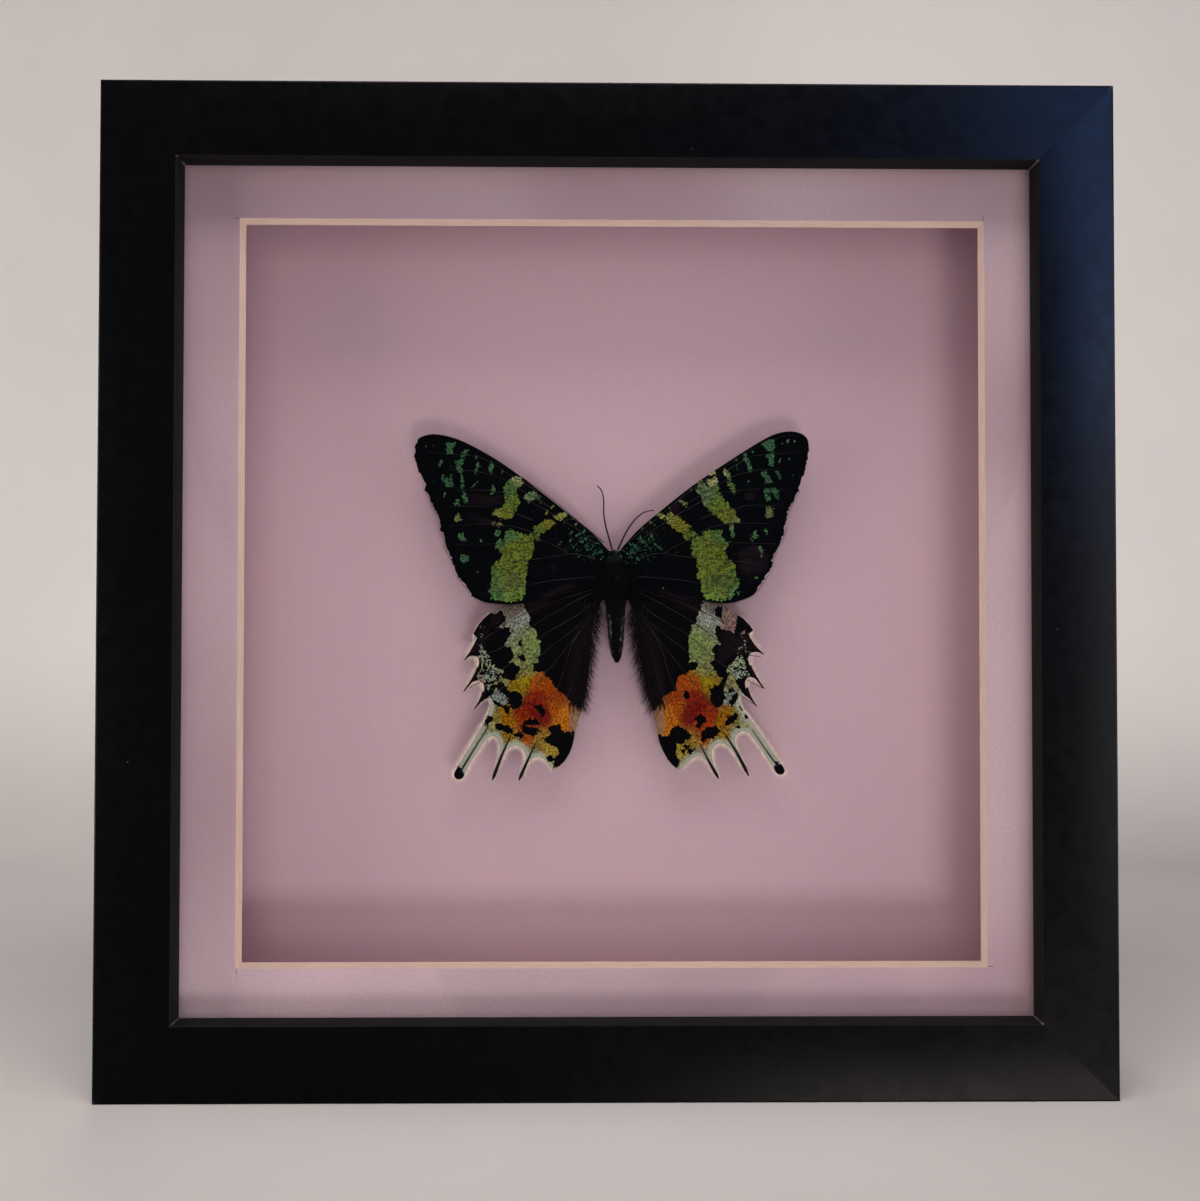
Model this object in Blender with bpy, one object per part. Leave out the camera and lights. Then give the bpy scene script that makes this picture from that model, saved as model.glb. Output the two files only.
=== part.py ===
"""A large day-flying moth, set with its wings spread and pinned in a square black box frame.

The frame stands on its bottom edge and faces -Y, with +Z up. The origin is at the middle of the
frame's bottom face. Sizes are in millimetres and are turned to metres as each mesh is made.

Two sets of coordinates are used. The frame's pieces use x to the right, d for the depth behind
the front face, and z for the height above the bottom edge. The moth's pieces use the same
directions, measured from the pin, with d measured from the plane that its wings lie in.
"""
import math

import bmesh
import bpy
from mathutils import Vector
from mathutils.geometry import delaunay_2d_cdt

MM = 0.001
GAP = 0.3                      # room left between neighbouring pieces

# The frame
SIDE = 228.0                   # outer width and height
FACE = 17.2                    # width of the moulding seen from the front
DEPTH = 39.0                   # front to back
LIP = 5.9                      # thickness of the lip that holds the glass
WALL = 11.9                    # thickness of the moulding behind the lip
EASED_OUTER = 0.5              # eased outer front edge
EASED_SIGHT = 0.3              # eased edge at the opening
PICTURE = 203.2                # the glass, mat, backing and panel are all 8 inches square

# Layers behind the lip, as depths of their front faces and thicknesses
GLASS_D = LIP + GAP
GLASS = 2.0
MAT_D = GLASS_D + GLASS + GAP
MAT = 1.2
LINER_D = MAT_D + MAT + GAP
LINER = 3.0
BACKING_D = 29.0
BACKING = 5.0
PANEL_D = BACKING_D + BACKING + GAP
PANEL = 2.0
TAB_D = PANEL_D + PANEL + GAP

# The mat's window, cut a little off the middle, with its edge bevelled at 45 degrees
WINDOW = 171.8
WINDOW_X = 1.1
WINDOW_Z = -0.5

# The moth hangs on its pin, in front of the backing
PIN_X = 2.15
PIN_Z = SIDE / 2 + 3.1
WING_D = 23.0                  # depth of the forewings' middle plane
PIN_R = 0.25
PIN_TOP = -4.1                 # the cut end of the pin, above the thorax
PIN_TIP = 10.0                 # the point, pushed into the backing
BORE_R = PIN_R + GAP

WING = 0.35                    # thickness of a wing
HINDWING_D = 0.95              # the hindwings lie under the forewings by this much
ARCH = 0.9                     # height of a wing's gentle arch
ARCH_SPAN = 50.0
VEIN_RISE = 0.15
OUTLINE_STEP = 1.7             # spacing of the points along a wing's edge
GRID_STEP = 3.4                # spacing of the points inside a wing
VEIN_STEP = 2.2                # spacing of the points along a vein

# Each wing's edge is a list of runs. A run is smooth, and corners are where two runs meet.
# Its first value is how far the pale fringe or the hair reaches past the membrane there.
FOREWING_LEFT = (
    (0.0, ((-2.3, 7.4), (-5.3, 10.5), (-10.9, 15.1), (-18.2, 20.9), (-25.7, 26.5), (-31.0, 29.9),
           (-36.5, 32.8), (-40.4, 34.2), (-44.0, 34.8), (-46.8, 34.3), (-48.3, 33.1),
           (-48.6, 31.0), (-48.8, 29.3), (-48.1, 27.0), (-47.6, 25.2), (-46.3, 22.8))),
    (0.0, ((-46.3, 22.8), (-46.1, 21.1), (-45.0, 19.4), (-44.0, 16.9), (-42.8, 14.8),
           (-42.7, 12.0))),
    (0.0, ((-42.7, 12.0), (-41.5, 10.0), (-41.0, 7.4), (-39.8, 5.0), (-39.2, 3.4), (-39.0, 1.4))),
    (0.0, ((-39.0, 1.4), (-37.4, -0.6), (-35.6, -2.8), (-34.8, -4.4))),
    (0.0, ((-34.8, -4.4), (-32.0, -5.7), (-27.0, -6.3), (-22.2, -6.1), (-18.5, -5.3),
           (-14.0, -3.9), (-10.0, -2.6), (-6.5, -1.7), (-3.9, -1.0))),
    (0.0, ((-3.9, -1.0), (-3.7, 1.5), (-3.3, 4.0), (-2.7, 6.0), (-2.3, 7.4))),
)
FOREWING_RIGHT = (
    (0.0, ((2.3, 9.2), (6.0, 12.4), (10.2, 15.9), (18.4, 22.4), (27.4, 28.5), (35.2, 33.4),
           (38.8, 35.1), (42.2, 35.7), (44.8, 35.2), (46.4, 33.8), (46.7, 31.1), (46.1, 27.4),
           (45.3, 24.2), (44.4, 21.5))),
    (0.0, ((44.4, 21.5), (43.0, 19.0), (41.6, 16.2), (41.2, 13.6))),
    (0.0, ((41.2, 13.6), (40.7, 11.0), (39.8, 8.8), (39.2, 7.3))),
    (0.0, ((39.2, 7.3), (37.9, 4.9), (37.6, 3.0), (37.4, 1.9))),
    (0.0, ((37.4, 1.9), (35.8, -0.2), (34.4, -2.4), (33.4, -3.9))),
    (0.0, ((33.4, -3.9), (30.8, -5.1), (27.6, -5.9), (24.0, -5.9), (20.5, -5.3), (15.0, -4.9),
           (10.0, -4.0), (6.5, -2.4), (3.9, -1.0))),
    (0.0, ((3.9, -1.0), (3.8, 1.5), (3.5, 4.0), (2.7, 6.6), (2.3, 9.2))),
)
HINDWING_LEFT = (
    (0.0, ((-3.7, -1.6), (-9.0, -1.0), (-15.0, -2.0), (-21.0, -4.1), (-26.0, -6.3),
           (-28.6, -7.4), (-31.0, -8.9), (-33.0, -11.0), (-34.4, -13.4))),
    (0.8, ((-34.4, -13.4), (-33.5, -14.4))),
    (0.8, ((-33.5, -14.4), (-34.6, -16.6), (-36.3, -19.4))),
    (0.9, ((-36.3, -19.4), (-34.6, -18.6), (-33.2, -19.2), (-33.1, -21.0), (-34.4, -23.7),
           (-36.5, -27.1))),
    (0.9, ((-36.5, -27.1), (-35.0, -25.3), (-33.4, -24.7), (-32.0, -25.3), (-31.8, -27.2),
           (-32.8, -29.6), (-33.9, -31.3))),
    (0.8, ((-33.9, -31.3), (-32.4, -29.7), (-31.0, -28.9), (-30.1, -29.7), (-30.5, -32.0),
           (-31.7, -34.6), (-33.6, -38.0), (-36.0, -42.0), (-38.2, -45.6), (-39.0, -47.3),
           (-38.3, -48.4), (-37.0, -48.2), (-36.3, -46.9), (-34.8, -44.0), (-33.0, -41.3),
           (-31.4, -39.0), (-29.6, -37.9), (-28.2, -39.0), (-27.9, -41.4), (-28.4, -43.8),
           (-29.2, -46.6), (-30.0, -49.0))),
    (0.8, ((-30.0, -49.0), (-28.5, -46.0), (-27.5, -43.4), (-26.2, -41.2), (-24.2, -40.2),
           (-22.3, -41.2), (-21.6, -43.2), (-22.2, -45.8), (-23.4, -48.9))),
    (0.8, ((-23.4, -48.9), (-21.9, -45.8), (-20.6, -43.7), (-18.6, -43.0), (-16.9, -43.9),
           (-15.2, -46.4))),
    (0.0, ((-15.2, -46.4), (-12.9, -44.7), (-11.4, -42.6), (-10.5, -40.4), (-9.9, -37.6))),
    (0.9, ((-9.9, -37.6), (-9.3, -35.0), (-8.3, -32.0), (-7.3, -28.0), (-6.6, -22.0),
           (-6.0, -16.0), (-5.4, -11.0))),
    (0.4, ((-5.4, -11.0), (-4.7, -7.0))),
    (0.0, ((-4.7, -7.0), (-4.0, -4.0), (-3.7, -1.6))),
)
HINDWING_RIGHT = (
    (0.0, ((3.7, -1.6), (9.0, -1.3), (15.0, -2.2), (21.0, -4.0), (25.5, -6.1), (28.0, -7.8),
           (30.6, -9.5), (32.2, -11.0), (33.2, -12.5))),
    (0.8, ((33.2, -12.5), (32.1, -13.4))),
    (0.8, ((32.1, -13.4), (33.0, -15.3), (35.5, -18.1))),
    (0.9, ((35.5, -18.1), (33.6, -17.7), (32.2, -18.6), (32.2, -20.6), (33.8, -23.6),
           (35.6, -26.4))),
    (0.9, ((35.6, -26.4), (34.0, -24.4), (32.4, -23.8), (31.3, -24.6), (31.4, -26.6),
           (32.5, -29.0), (33.8, -30.6))),
    (0.8, ((33.8, -30.6), (32.0, -28.8), (30.4, -28.0), (29.6, -28.9), (30.2, -31.0),
           (31.8, -33.2), (34.0, -36.2), (37.0, -40.6), (39.4, -44.0), (40.8, -46.2),
           (40.2, -47.3), (38.9, -47.0), (37.8, -45.2), (36.0, -42.4), (33.8, -39.2),
           (32.2, -37.3), (30.2, -36.9), (28.8, -38.2), (28.9, -40.2), (30.2, -43.2),
           (31.4, -45.8), (32.3, -48.0))),
    (0.8, ((32.3, -48.0), (30.6, -45.4), (29.2, -43.0), (27.6, -40.8), (25.3, -39.6),
           (23.4, -40.8), (23.1, -43.0), (23.9, -45.8), (25.0, -48.6))),
    (0.8, ((25.0, -48.6), (23.2, -46.0), (21.8, -43.9), (19.8, -42.8), (17.8, -43.9),
           (15.6, -46.4))),
    (0.0, ((15.6, -46.4), (13.3, -44.7), (11.8, -42.4), (10.6, -39.8), (10.0, -37.2))),
    (0.9, ((10.0, -37.2), (9.6, -34.6), (8.7, -31.6), (7.4, -26.8), (6.2, -21.0),
           (5.3, -15.5), (4.8, -11.0))),
    (0.4, ((4.8, -11.0), (4.4, -7.5))),
    (0.0, ((4.4, -7.5), (4.0, -4.0), (3.7, -1.6))),
)

# The main veins, as lines from near the body towards the edge. They stand up as low ridges.
FOREWING_VEINS = (
    ((5.5, 8.6), (16.0, 17.6), (28.0, 26.0), (38.0, 31.6), (44.0, 32.4)),
    ((7.0, 7.6), (14.0, 13.6), (23.0, 19.0), (34.0, 24.0), (44.0, 25.6)),
    ((13.0, 11.4), (22.0, 16.2), (32.0, 19.6), (42.0, 20.0)),
    ((15.5, 7.6), (24.0, 12.4), (33.0, 15.2), (40.4, 15.6)),
    ((14.0, 6.0), (20.0, 9.0), (28.0, 9.0), (38.6, 9.6)),
    ((6.0, 4.4), (13.0, 5.6), (20.0, 4.8), (28.0, 3.6), (36.6, 3.0)),
    ((5.6, 0.9), (12.0, 0.2), (20.0, -1.2), (32.0, -2.6)),
)
HINDWING_VEINS = (
    ((6.0, -3.0), (14.0, -5.0), (22.0, -8.4), (30.0, -11.0)),
    ((6.0, -3.8), (14.0, -7.6), (23.0, -12.2), (31.0, -16.6), (34.0, -18.2)),
    ((6.0, -5.0), (13.0, -11.0), (21.0, -17.0), (29.0, -22.4), (34.0, -25.0)),
    ((8.0, -9.0), (14.0, -15.0), (20.0, -21.0), (27.0, -27.2), (32.0, -29.4)),
    ((9.0, -11.5), (15.0, -20.0), (22.0, -28.0), (29.6, -35.0), (37.6, -45.0)),
    ((8.0, -11.5), (13.0, -20.0), (19.0, -29.0), (25.5, -37.4), (29.0, -44.0)),
    ((7.0, -10.5), (11.0, -19.0), (16.0, -29.0), (20.0, -38.6), (22.4, -44.4)),
    ((6.4, -9.5), (9.0, -19.0), (12.0, -29.0), (14.0, -40.0)),
)

# The body: height, middle, half width and half depth of its cross-sections, head first
BODY_SECTIONS = (
    (6.9, -0.45, 0.35, 0.40), (6.6, -0.42, 0.95, 0.90), (6.0, -0.40, 1.35, 1.35),
    (5.5, -0.38, 1.45, 1.50), (5.0, -0.35, 2.00, 1.95), (4.3, -0.25, 2.50, 2.45),
    (3.0, -0.20, 2.90, 2.80), (1.2, -0.10, 3.10, 3.00), (-1.2, 0.0, 3.10, 3.00),
    (-3.4, 0.0, 2.80, 2.75),
    (-5.2, 0.0, 2.35, 2.30), (-8.0, -0.10, 2.30, 2.15), (-11.0, 0.0, 2.10, 1.95),
    (-14.0, 0.05, 1.90, 1.80), (-16.5, 0.10, 1.60, 1.55), (-18.4, 0.15, 1.20, 1.20),
    (-19.8, 0.20, 0.65, 0.70), (-20.6, 0.20, 0.15, 0.20),
)
BODY_D = 0.3                   # the body's axis, behind the wings' plane
BODY_SIDES = 20
ABDOMEN_TOP = -5.2
SEGMENT = 2.05                 # length of a segment of the abdomen
EYE_R = 0.72
EYE_X = 1.05
EYE_Z = 6.0

# Feelers: x, depth, height of their points, from the head out
FEELER_R = (0.16, 0.08)
FEELER_LEFT = ((-0.95, -0.9, 6.9), (-1.7, -1.5, 9.6), (-2.5, -1.9, 12.4), (-3.0, -2.1, 15.6),
               (-3.05, -2.1, 19.2), (-3.7, -2.0, 21.3), (-4.6, -1.8, 22.2))
FEELER_RIGHT = ((0.35, -0.9, 6.9), (0.8, -1.3, 7.8), (2.2, -1.8, 10.7), (4.0, -2.1, 13.5),
                (6.1, -2.1, 15.5), (7.9, -1.9, 16.2), (9.1, -1.7, 16.3))

# Legs, folded under the thorax: one side's points from hip to foot
LEG_R = (0.34, 0.2)
LEGS = {
    "front": ((0.9, 3.5, 3.2), (2.2, 4.2, 4.4), (1.2, 4.9, 3.0), (0.7, 5.0, 0.2)),
    "middle": ((1.1, 3.8, 0.6), (2.8, 4.4, 1.2), (2.0, 5.0, -1.6), (1.2, 5.1, -4.6)),
    "hind": ((1.1, 3.8, -2.0), (2.6, 4.4, -3.2), (2.2, 4.9, -6.6), (1.5, 5.1, -10.4)),
}

# The retaining tabs and the hanger at the back
TAB = (14.0, 5.0, 0.6)         # length, width, thickness
TAB_AT = 55.0                  # distance of a tab from the middle of its side
HANGER = (44.0, 11.0, 0.8)
HANGER_Z = SIDE - 45.0
HANGER_TEETH = 9
TOOTH = 1.6
RIVET_X = 17.5
RIVET_R = 1.1
RIVET_HEAD_R = 2.0


def material(name, colour, roughness, metallic=0.0, transmission=0.0):
    """A Principled material with the piece's main colour."""
    made = bpy.data.materials.new(name)
    made.use_nodes = True
    shader = made.node_tree.nodes["Principled BSDF"]
    shader.inputs["Base Color"].default_value = (*colour, 1.0)
    shader.inputs["Roughness"].default_value = roughness
    shader.inputs["Metallic"].default_value = metallic
    shader.inputs["Transmission Weight"].default_value = transmission
    return made


def add_piece(name, points, faces, finish, smooth=False):
    """One named object from points in the frame's millimetres (x, depth, height)."""
    mesh = bpy.data.meshes.new(name)
    placed = [(x * MM, (d - DEPTH / 2) * MM, z * MM) for x, d, z in points]
    mesh.from_pydata(placed, [], faces)
    mesh.validate()
    bm = bmesh.new()
    bm.from_mesh(mesh)
    bmesh.ops.recalc_face_normals(bm, faces=bm.faces)
    bm.to_mesh(mesh)
    bm.free()
    mesh.materials.append(finish)
    if smooth:
        mesh.shade_smooth()
        mesh.set_sharp_from_angle(angle=math.radians(50))
    piece = bpy.data.objects.new(name, mesh)
    bpy.context.scene.collection.objects.link(piece)
    return piece


def on_pin(points):
    """Points measured from the pin and the wings' plane, in the frame's millimetres."""
    return [(x + PIN_X, d + WING_D, z + PIN_Z) for x, d, z in points]


def slab(name, x_range, d_range, z_range, finish):
    """A rectangular sheet, strip or board."""
    corners = [(x, d, z) for x in x_range for d in d_range for z in z_range]
    faces = [(0, 1, 3, 2), (4, 6, 7, 5), (0, 4, 5, 1), (2, 3, 7, 6), (0, 2, 6, 4), (1, 5, 7, 3)]
    return add_piece(name, corners, faces, finish)


def prism(rings):
    """Faces that join equal rings of points, with both ends closed."""
    count = len(rings[0])
    points = [point for ring in rings for point in ring]
    faces = []
    for r in range(len(rings) - 1):
        for i in range(count):
            j = (i + 1) % count
            faces.append((r * count + i, r * count + j, (r + 1) * count + j, (r + 1) * count + i))
    faces.append(tuple(range(count)))
    faces.append(tuple(range((len(rings) - 1) * count, len(rings) * count)))
    return points, faces


def smooth_run(points, step):
    """Points about step apart on a smooth curve through the given ones, without the last."""
    ends = [points[0], *points, points[-1]]
    curve = []
    for i in range(1, len(ends) - 2):
        before, a, b, after = (Vector(p) for p in ends[i - 1:i + 3])
        parts = max(1, round((b - a).length / step))
        for k in range(parts):
            t = k / parts
            curve.append(0.5 * (2 * a + (b - before) * t + (2 * before - 5 * a + 4 * b - after) * t ** 2
                                + (3 * a - before - 3 * b + after) * t ** 3))
    return curve


def wing_outline(runs, step):
    """The whole edge of a wing, pushed out by each run's fringe."""
    edge = []
    reach = []
    for fringe, points in runs:
        curve = smooth_run(points, step)
        edge += curve
        reach += [fringe] * len(curve)
    area = sum(a.x * b.y - b.x * a.y for a, b in zip(edge, edge[1:] + edge[:1]))
    turn = 1.0 if area > 0 else -1.0
    pushed = []
    for i, point in enumerate(edge):
        along = (edge[(i + 1) % len(edge)] - point).normalized() + (point - edge[i - 1]).normalized()
        out = Vector((along.y, -along.x)).normalized() * turn
        pushed.append(point + out * max(reach[i - 1], reach[i]))
    return pushed


def inside(point, outline):
    """Whether a point lies within a closed outline."""
    hit = False
    for a, b in zip(outline, outline[1:] + outline[:1]):
        if (a.y > point.y) != (b.y > point.y):
            if point.x < a.x + (b.x - a.x) * (point.y - a.y) / (b.y - a.y):
                hit = not hit
    return hit


def grid_inside(outline, kept_clear):
    """A staggered grid of points within the outline, clear of the points already there."""
    low = Vector((min(p.x for p in outline), min(p.y for p in outline)))
    high = Vector((max(p.x for p in outline), max(p.y for p in outline)))
    rows = int((high.y - low.y) / (GRID_STEP * 0.87)) + 1
    columns = int((high.x - low.x) / GRID_STEP) + 2
    found = []
    for r in range(rows):
        for c in range(columns):
            shift = 0.5 * (r % 2)
            point = low + Vector(((c + shift) * GRID_STEP, r * GRID_STEP * 0.87))
            clear = min((point - other).length for other in kept_clear)
            if clear > GRID_STEP * 0.5 and inside(point, outline):
                found.append(point)
    return found


def arch(x):
    """How far a wing rises towards the front at a distance x from the body's middle."""
    return ARCH * math.sin(math.pi * min(abs(x), ARCH_SPAN) / ARCH_SPAN)


def add_wing(name, runs, veins, depth, side, finish):
    """A thin arched sheet with its veins as low ridges. side is -1 for left and 1 for right."""
    outline = wing_outline(runs, OUTLINE_STEP)
    points = list(outline)
    edges = [(i, (i + 1) % len(outline)) for i in range(len(outline))]
    for vein in veins:
        line = smooth_run([(side * x, z) for x, z in vein], VEIN_STEP)
        line = [p for p in line if inside(p, outline)
                and min((p - q).length for q in outline) > GRID_STEP * 0.4]
        first = len(points)
        points += line
        edges += [(first + i, first + i + 1) for i in range(len(line) - 1)]
    ridge_end = len(points)
    points += grid_inside(outline, points)
    flat, _, triangles, origins, _, _ = delaunay_2d_cdt(points, edges, [], 1, 1e-4)
    front = []
    for point, origin in zip(flat, origins):
        on_vein = any(len(outline) <= index < ridge_end for index in origin)
        rise = arch(point.x) + (VEIN_RISE if on_vein else 0.0)
        front.append((point.x, depth - rise - WING / 2, point.y))
    back = [(x, d + WING, z) for x, d, z in front]
    count = len(front)
    faces = [tuple(t) for t in triangles]
    faces += [tuple(count + i for i in reversed(t)) for t in triangles]
    used = {(a, b) for t in triangles for a, b in zip(t, t[1:] + t[:1])}
    faces += [(b, a, count + a, count + b) for a, b in used if (b, a) not in used]
    return add_piece(name, on_pin(front + back), faces, finish)


def add_tube(name, path, radii, sides, finish):
    """A tapering round limb along a path of (x, depth, height) points."""
    track = smooth_run(path, 1.3) + [Vector(path[-1])]
    rings = []
    for i, centre in enumerate(track):
        along = (track[min(i + 1, len(track) - 1)] - track[max(i - 1, 0)]).normalized()
        across = along.cross(Vector((0.0, 1.0, 0.0))).normalized()
        up = across.cross(along)
        radius = radii[0] + (radii[1] - radii[0]) * i / (len(track) - 1)
        ring = []
        for k in range(sides):
            turn = 2 * math.pi * k / sides
            ring.append(centre + radius * (math.cos(turn) * across + math.sin(turn) * up))
        rings.append(on_pin(ring))
    return add_piece(name, *prism(rings), finish, smooth=True)


def add_cutter(name, radius, x, z, d_range, sides=16):
    """A round cutter along the depth, which is not part of the model."""
    rings = []
    for d in d_range:
        turns = [2 * math.pi * k / sides for k in range(sides)]
        rings.append([(x + radius * math.cos(t), d, z + radius * math.sin(t)) for t in turns])
    cutter = add_piece(name, *prism(rings), None)
    cutter.hide_render = True
    cutter.display_type = "WIRE"
    return cutter


def apply_boolean(piece, other, operation):
    """Adds a Boolean to a piece, solved exactly."""
    change = piece.modifiers.new(operation.title(), "BOOLEAN")
    change.operation = operation
    change.object = other
    change.solver = "EXACT"


def add_rails(finish):
    """Four mitred lengths of rabbeted moulding."""
    profile = ((0.0, EASED_OUTER), (EASED_OUTER, 0.0), (FACE - EASED_SIGHT, 0.0),
               (FACE, EASED_SIGHT), (FACE, LIP), (WALL, LIP), (WALL, DEPTH), (0.0, DEPTH))
    half = SIDE / 2
    setback = GAP / 2 * math.sqrt(2)
    for name, quarter in (("bottom", 0), ("right", 1), ("top", 2), ("left", 3)):
        rings = []
        for end in (-1, 1):
            ring = []
            for inward, d in profile:
                x = end * (half - inward - setback)
                z = inward - half
                for _ in range(quarter):
                    x, z = -z, x
                ring.append((x, d, z + half))
            rings.append(ring)
        add_piece(f"rail_{name}", *prism(rings), finish)


def add_mat(finish):
    """The mat: a square board with a bevelled window."""
    middle = SIDE / 2

    def square(side, x, z, d):
        half = side / 2
        return [(x + sx * half, d, middle + z + sz * half)
                for sx, sz in ((-1, -1), (1, -1), (1, 1), (-1, 1))]

    back = MAT_D + MAT
    rings = (square(PICTURE, 0.0, 0.0, MAT_D), square(WINDOW, WINDOW_X, WINDOW_Z, MAT_D),
             square(WINDOW - 2 * MAT, WINDOW_X, WINDOW_Z, back), square(PICTURE, 0.0, 0.0, back))
    points = [point for ring in rings for point in ring]
    faces = []
    for r in range(4):
        for i in range(4):
            j = (i + 1) % 4
            after = (r + 1) % 4
            faces.append((r * 4 + i, r * 4 + j, after * 4 + j, after * 4 + i))
    add_piece("mat", points, faces, finish)


def add_liner(finish):
    """Four strips that hold the backing away from the mat."""
    half = PICTURE / 2
    middle = SIDE / 2
    depths = (LINER_D, BACKING_D - GAP)
    inner = half - LINER
    slab("liner_top", (-half, half), depths, (middle + inner, middle + half), finish)
    slab("liner_bottom", (-half, half), depths, (middle - half, middle - inner), finish)
    between = (middle - inner + GAP, middle + inner - GAP)
    slab("liner_left", (-half, -inner), depths, between, finish)
    slab("liner_right", (inner, half), depths, between, finish)


def add_tabs(finish):
    """Two flat steel tabs on each side, which hold the back panel in."""
    reach = SIDE / 2 - WALL - GAP
    depths = (TAB_D, TAB_D + TAB[2])
    middle = SIDE / 2
    for side, (ux, uz) in (("bottom", (0, -1)), ("top", (0, 1)), ("left", (-1, 0)), ("right", (1, 0))):
        for number, along in ((1, -TAB_AT), (2, TAB_AT)):
            spans = []
            for outward in (ux, uz):
                if outward:
                    spans.append(sorted((outward * reach, outward * (reach - TAB[0]))))
                else:
                    spans.append((along - TAB[1] / 2, along + TAB[1] / 2))
            heights = (spans[1][0] + middle, spans[1][1] + middle)
            slab(f"tab_{side}_{number}", spans[0], depths, heights, finish)


def add_hanger(panel, finish):
    """A sawtooth plate on the back panel, held by two rivets."""
    length, width, thick = HANGER
    front = TAB_D
    half = length / 2
    outline = [(-half, HANGER_Z), (-half, HANGER_Z + width), (half, HANGER_Z + width), (half, HANGER_Z)]
    pitch = (length - 20.0) / HANGER_TEETH
    start = half - 10.0
    for tooth in range(HANGER_TEETH):
        x = start - tooth * pitch
        outline += [(x, HANGER_Z), (x - pitch / 2, HANGER_Z + TOOTH)]
    outline.append((-start, HANGER_Z))
    rings = [[(x, d, z) for x, z in outline] for d in (front, front + thick)]
    plate = add_piece("sawtooth_hanger", *prism(rings), finish)
    for name, x in (("left", -RIVET_X), ("right", RIVET_X)):
        z = HANGER_Z + width / 2 + 1.0
        hole = add_cutter(f"rivet_hole_{name}", RIVET_R + GAP, x, z, (PANEL_D - 1.0, front + 2.0))
        apply_boolean(plate, hole, "DIFFERENCE")
        apply_boolean(panel, hole, "DIFFERENCE")
        steps = ((RIVET_R, PANEL_D + 0.2), (RIVET_R, front + thick + GAP),
                 (RIVET_HEAD_R, front + thick + GAP), (RIVET_HEAD_R * 0.85, front + thick + 0.7),
                 (RIVET_HEAD_R * 0.5, front + thick + 0.9))
        turns = [2 * math.pi * k / 16 for k in range(16)]
        rings = [[(x + r * math.cos(t), d, z + r * math.sin(t)) for t in turns] for r, d in steps]
        add_piece(f"hanger_rivet_{name}", *prism(rings), finish, smooth=True)


def body_section(z):
    """The body's middle, half width and half depth at a height, between the listed sections."""
    for upper, lower in zip(BODY_SECTIONS, BODY_SECTIONS[1:]):
        if lower[0] <= z <= upper[0]:
            t = (upper[0] - z) / (upper[0] - lower[0])
            return [a + (b - a) * t for a, b in zip(upper[1:], lower[1:])]
    raise ValueError(z)


def add_body(finish):
    """Head, thorax and ringed abdomen, with a round eye on each side and the pin's bore."""
    levels = [(section[0], 1.0) for section in BODY_SECTIONS if section[0] > ABDOMEN_TOP]
    segments = int((ABDOMEN_TOP - BODY_SECTIONS[-2][0]) / SEGMENT)
    for number in range(segments):
        top = ABDOMEN_TOP - number * SEGMENT
        levels += [(top, 0.93), (top - 0.35, 1.03), (top - SEGMENT * 0.75, 1.0)]
    levels += [(section[0], 1.0) for section in BODY_SECTIONS[-2:]]
    rings = []
    for z, swell in levels:
        middle, half_width, half_depth = body_section(z)
        ring = []
        for k in range(BODY_SIDES):
            turn = 2 * math.pi * k / BODY_SIDES
            ring.append((middle + swell * half_width * math.cos(turn),
                         BODY_D + swell * half_depth * math.sin(turn), z))
        rings.append(on_pin(ring))
    body = add_piece("moth_body", *prism(rings), finish, smooth=True)
    for side in (-1, 1):
        rings = []
        for level in range(1, 8):
            lift = math.pi * level / 8
            ring = []
            for k in range(12):
                turn = 2 * math.pi * k / 12
                ring.append((side * EYE_X + BODY_SECTIONS[2][1] + EYE_R * math.sin(lift) * math.cos(turn),
                             BODY_D + EYE_R * math.sin(lift) * math.sin(turn),
                             EYE_Z + EYE_R * math.cos(lift)))
            rings.append(on_pin(ring))
        eye = add_piece(f"eye_guide_{side}", *prism(rings), None)
        eye.hide_render = True
        eye.display_type = "WIRE"
        apply_boolean(body, eye, "UNION")
    bore = add_cutter("pin_bore", BORE_R, PIN_X, PIN_Z, (WING_D - 6.0, WING_D + 6.0), sides=10)
    apply_boolean(body, bore, "DIFFERENCE")


def add_pin(finish):
    """A fine steel pin, cut off above the thorax and pointed at the far end."""
    turns = [2 * math.pi * k / 8 for k in range(8)]
    steps = ((PIN_R * 0.7, PIN_TOP), (PIN_R, PIN_TOP + 0.15), (PIN_R, PIN_TIP - 1.5), (0.05, PIN_TIP))
    rings = [on_pin([(r * math.cos(t), d, r * math.sin(t)) for t in turns]) for r, d in steps]
    add_piece("pin", *prism(rings), finish, smooth=True)


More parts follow.
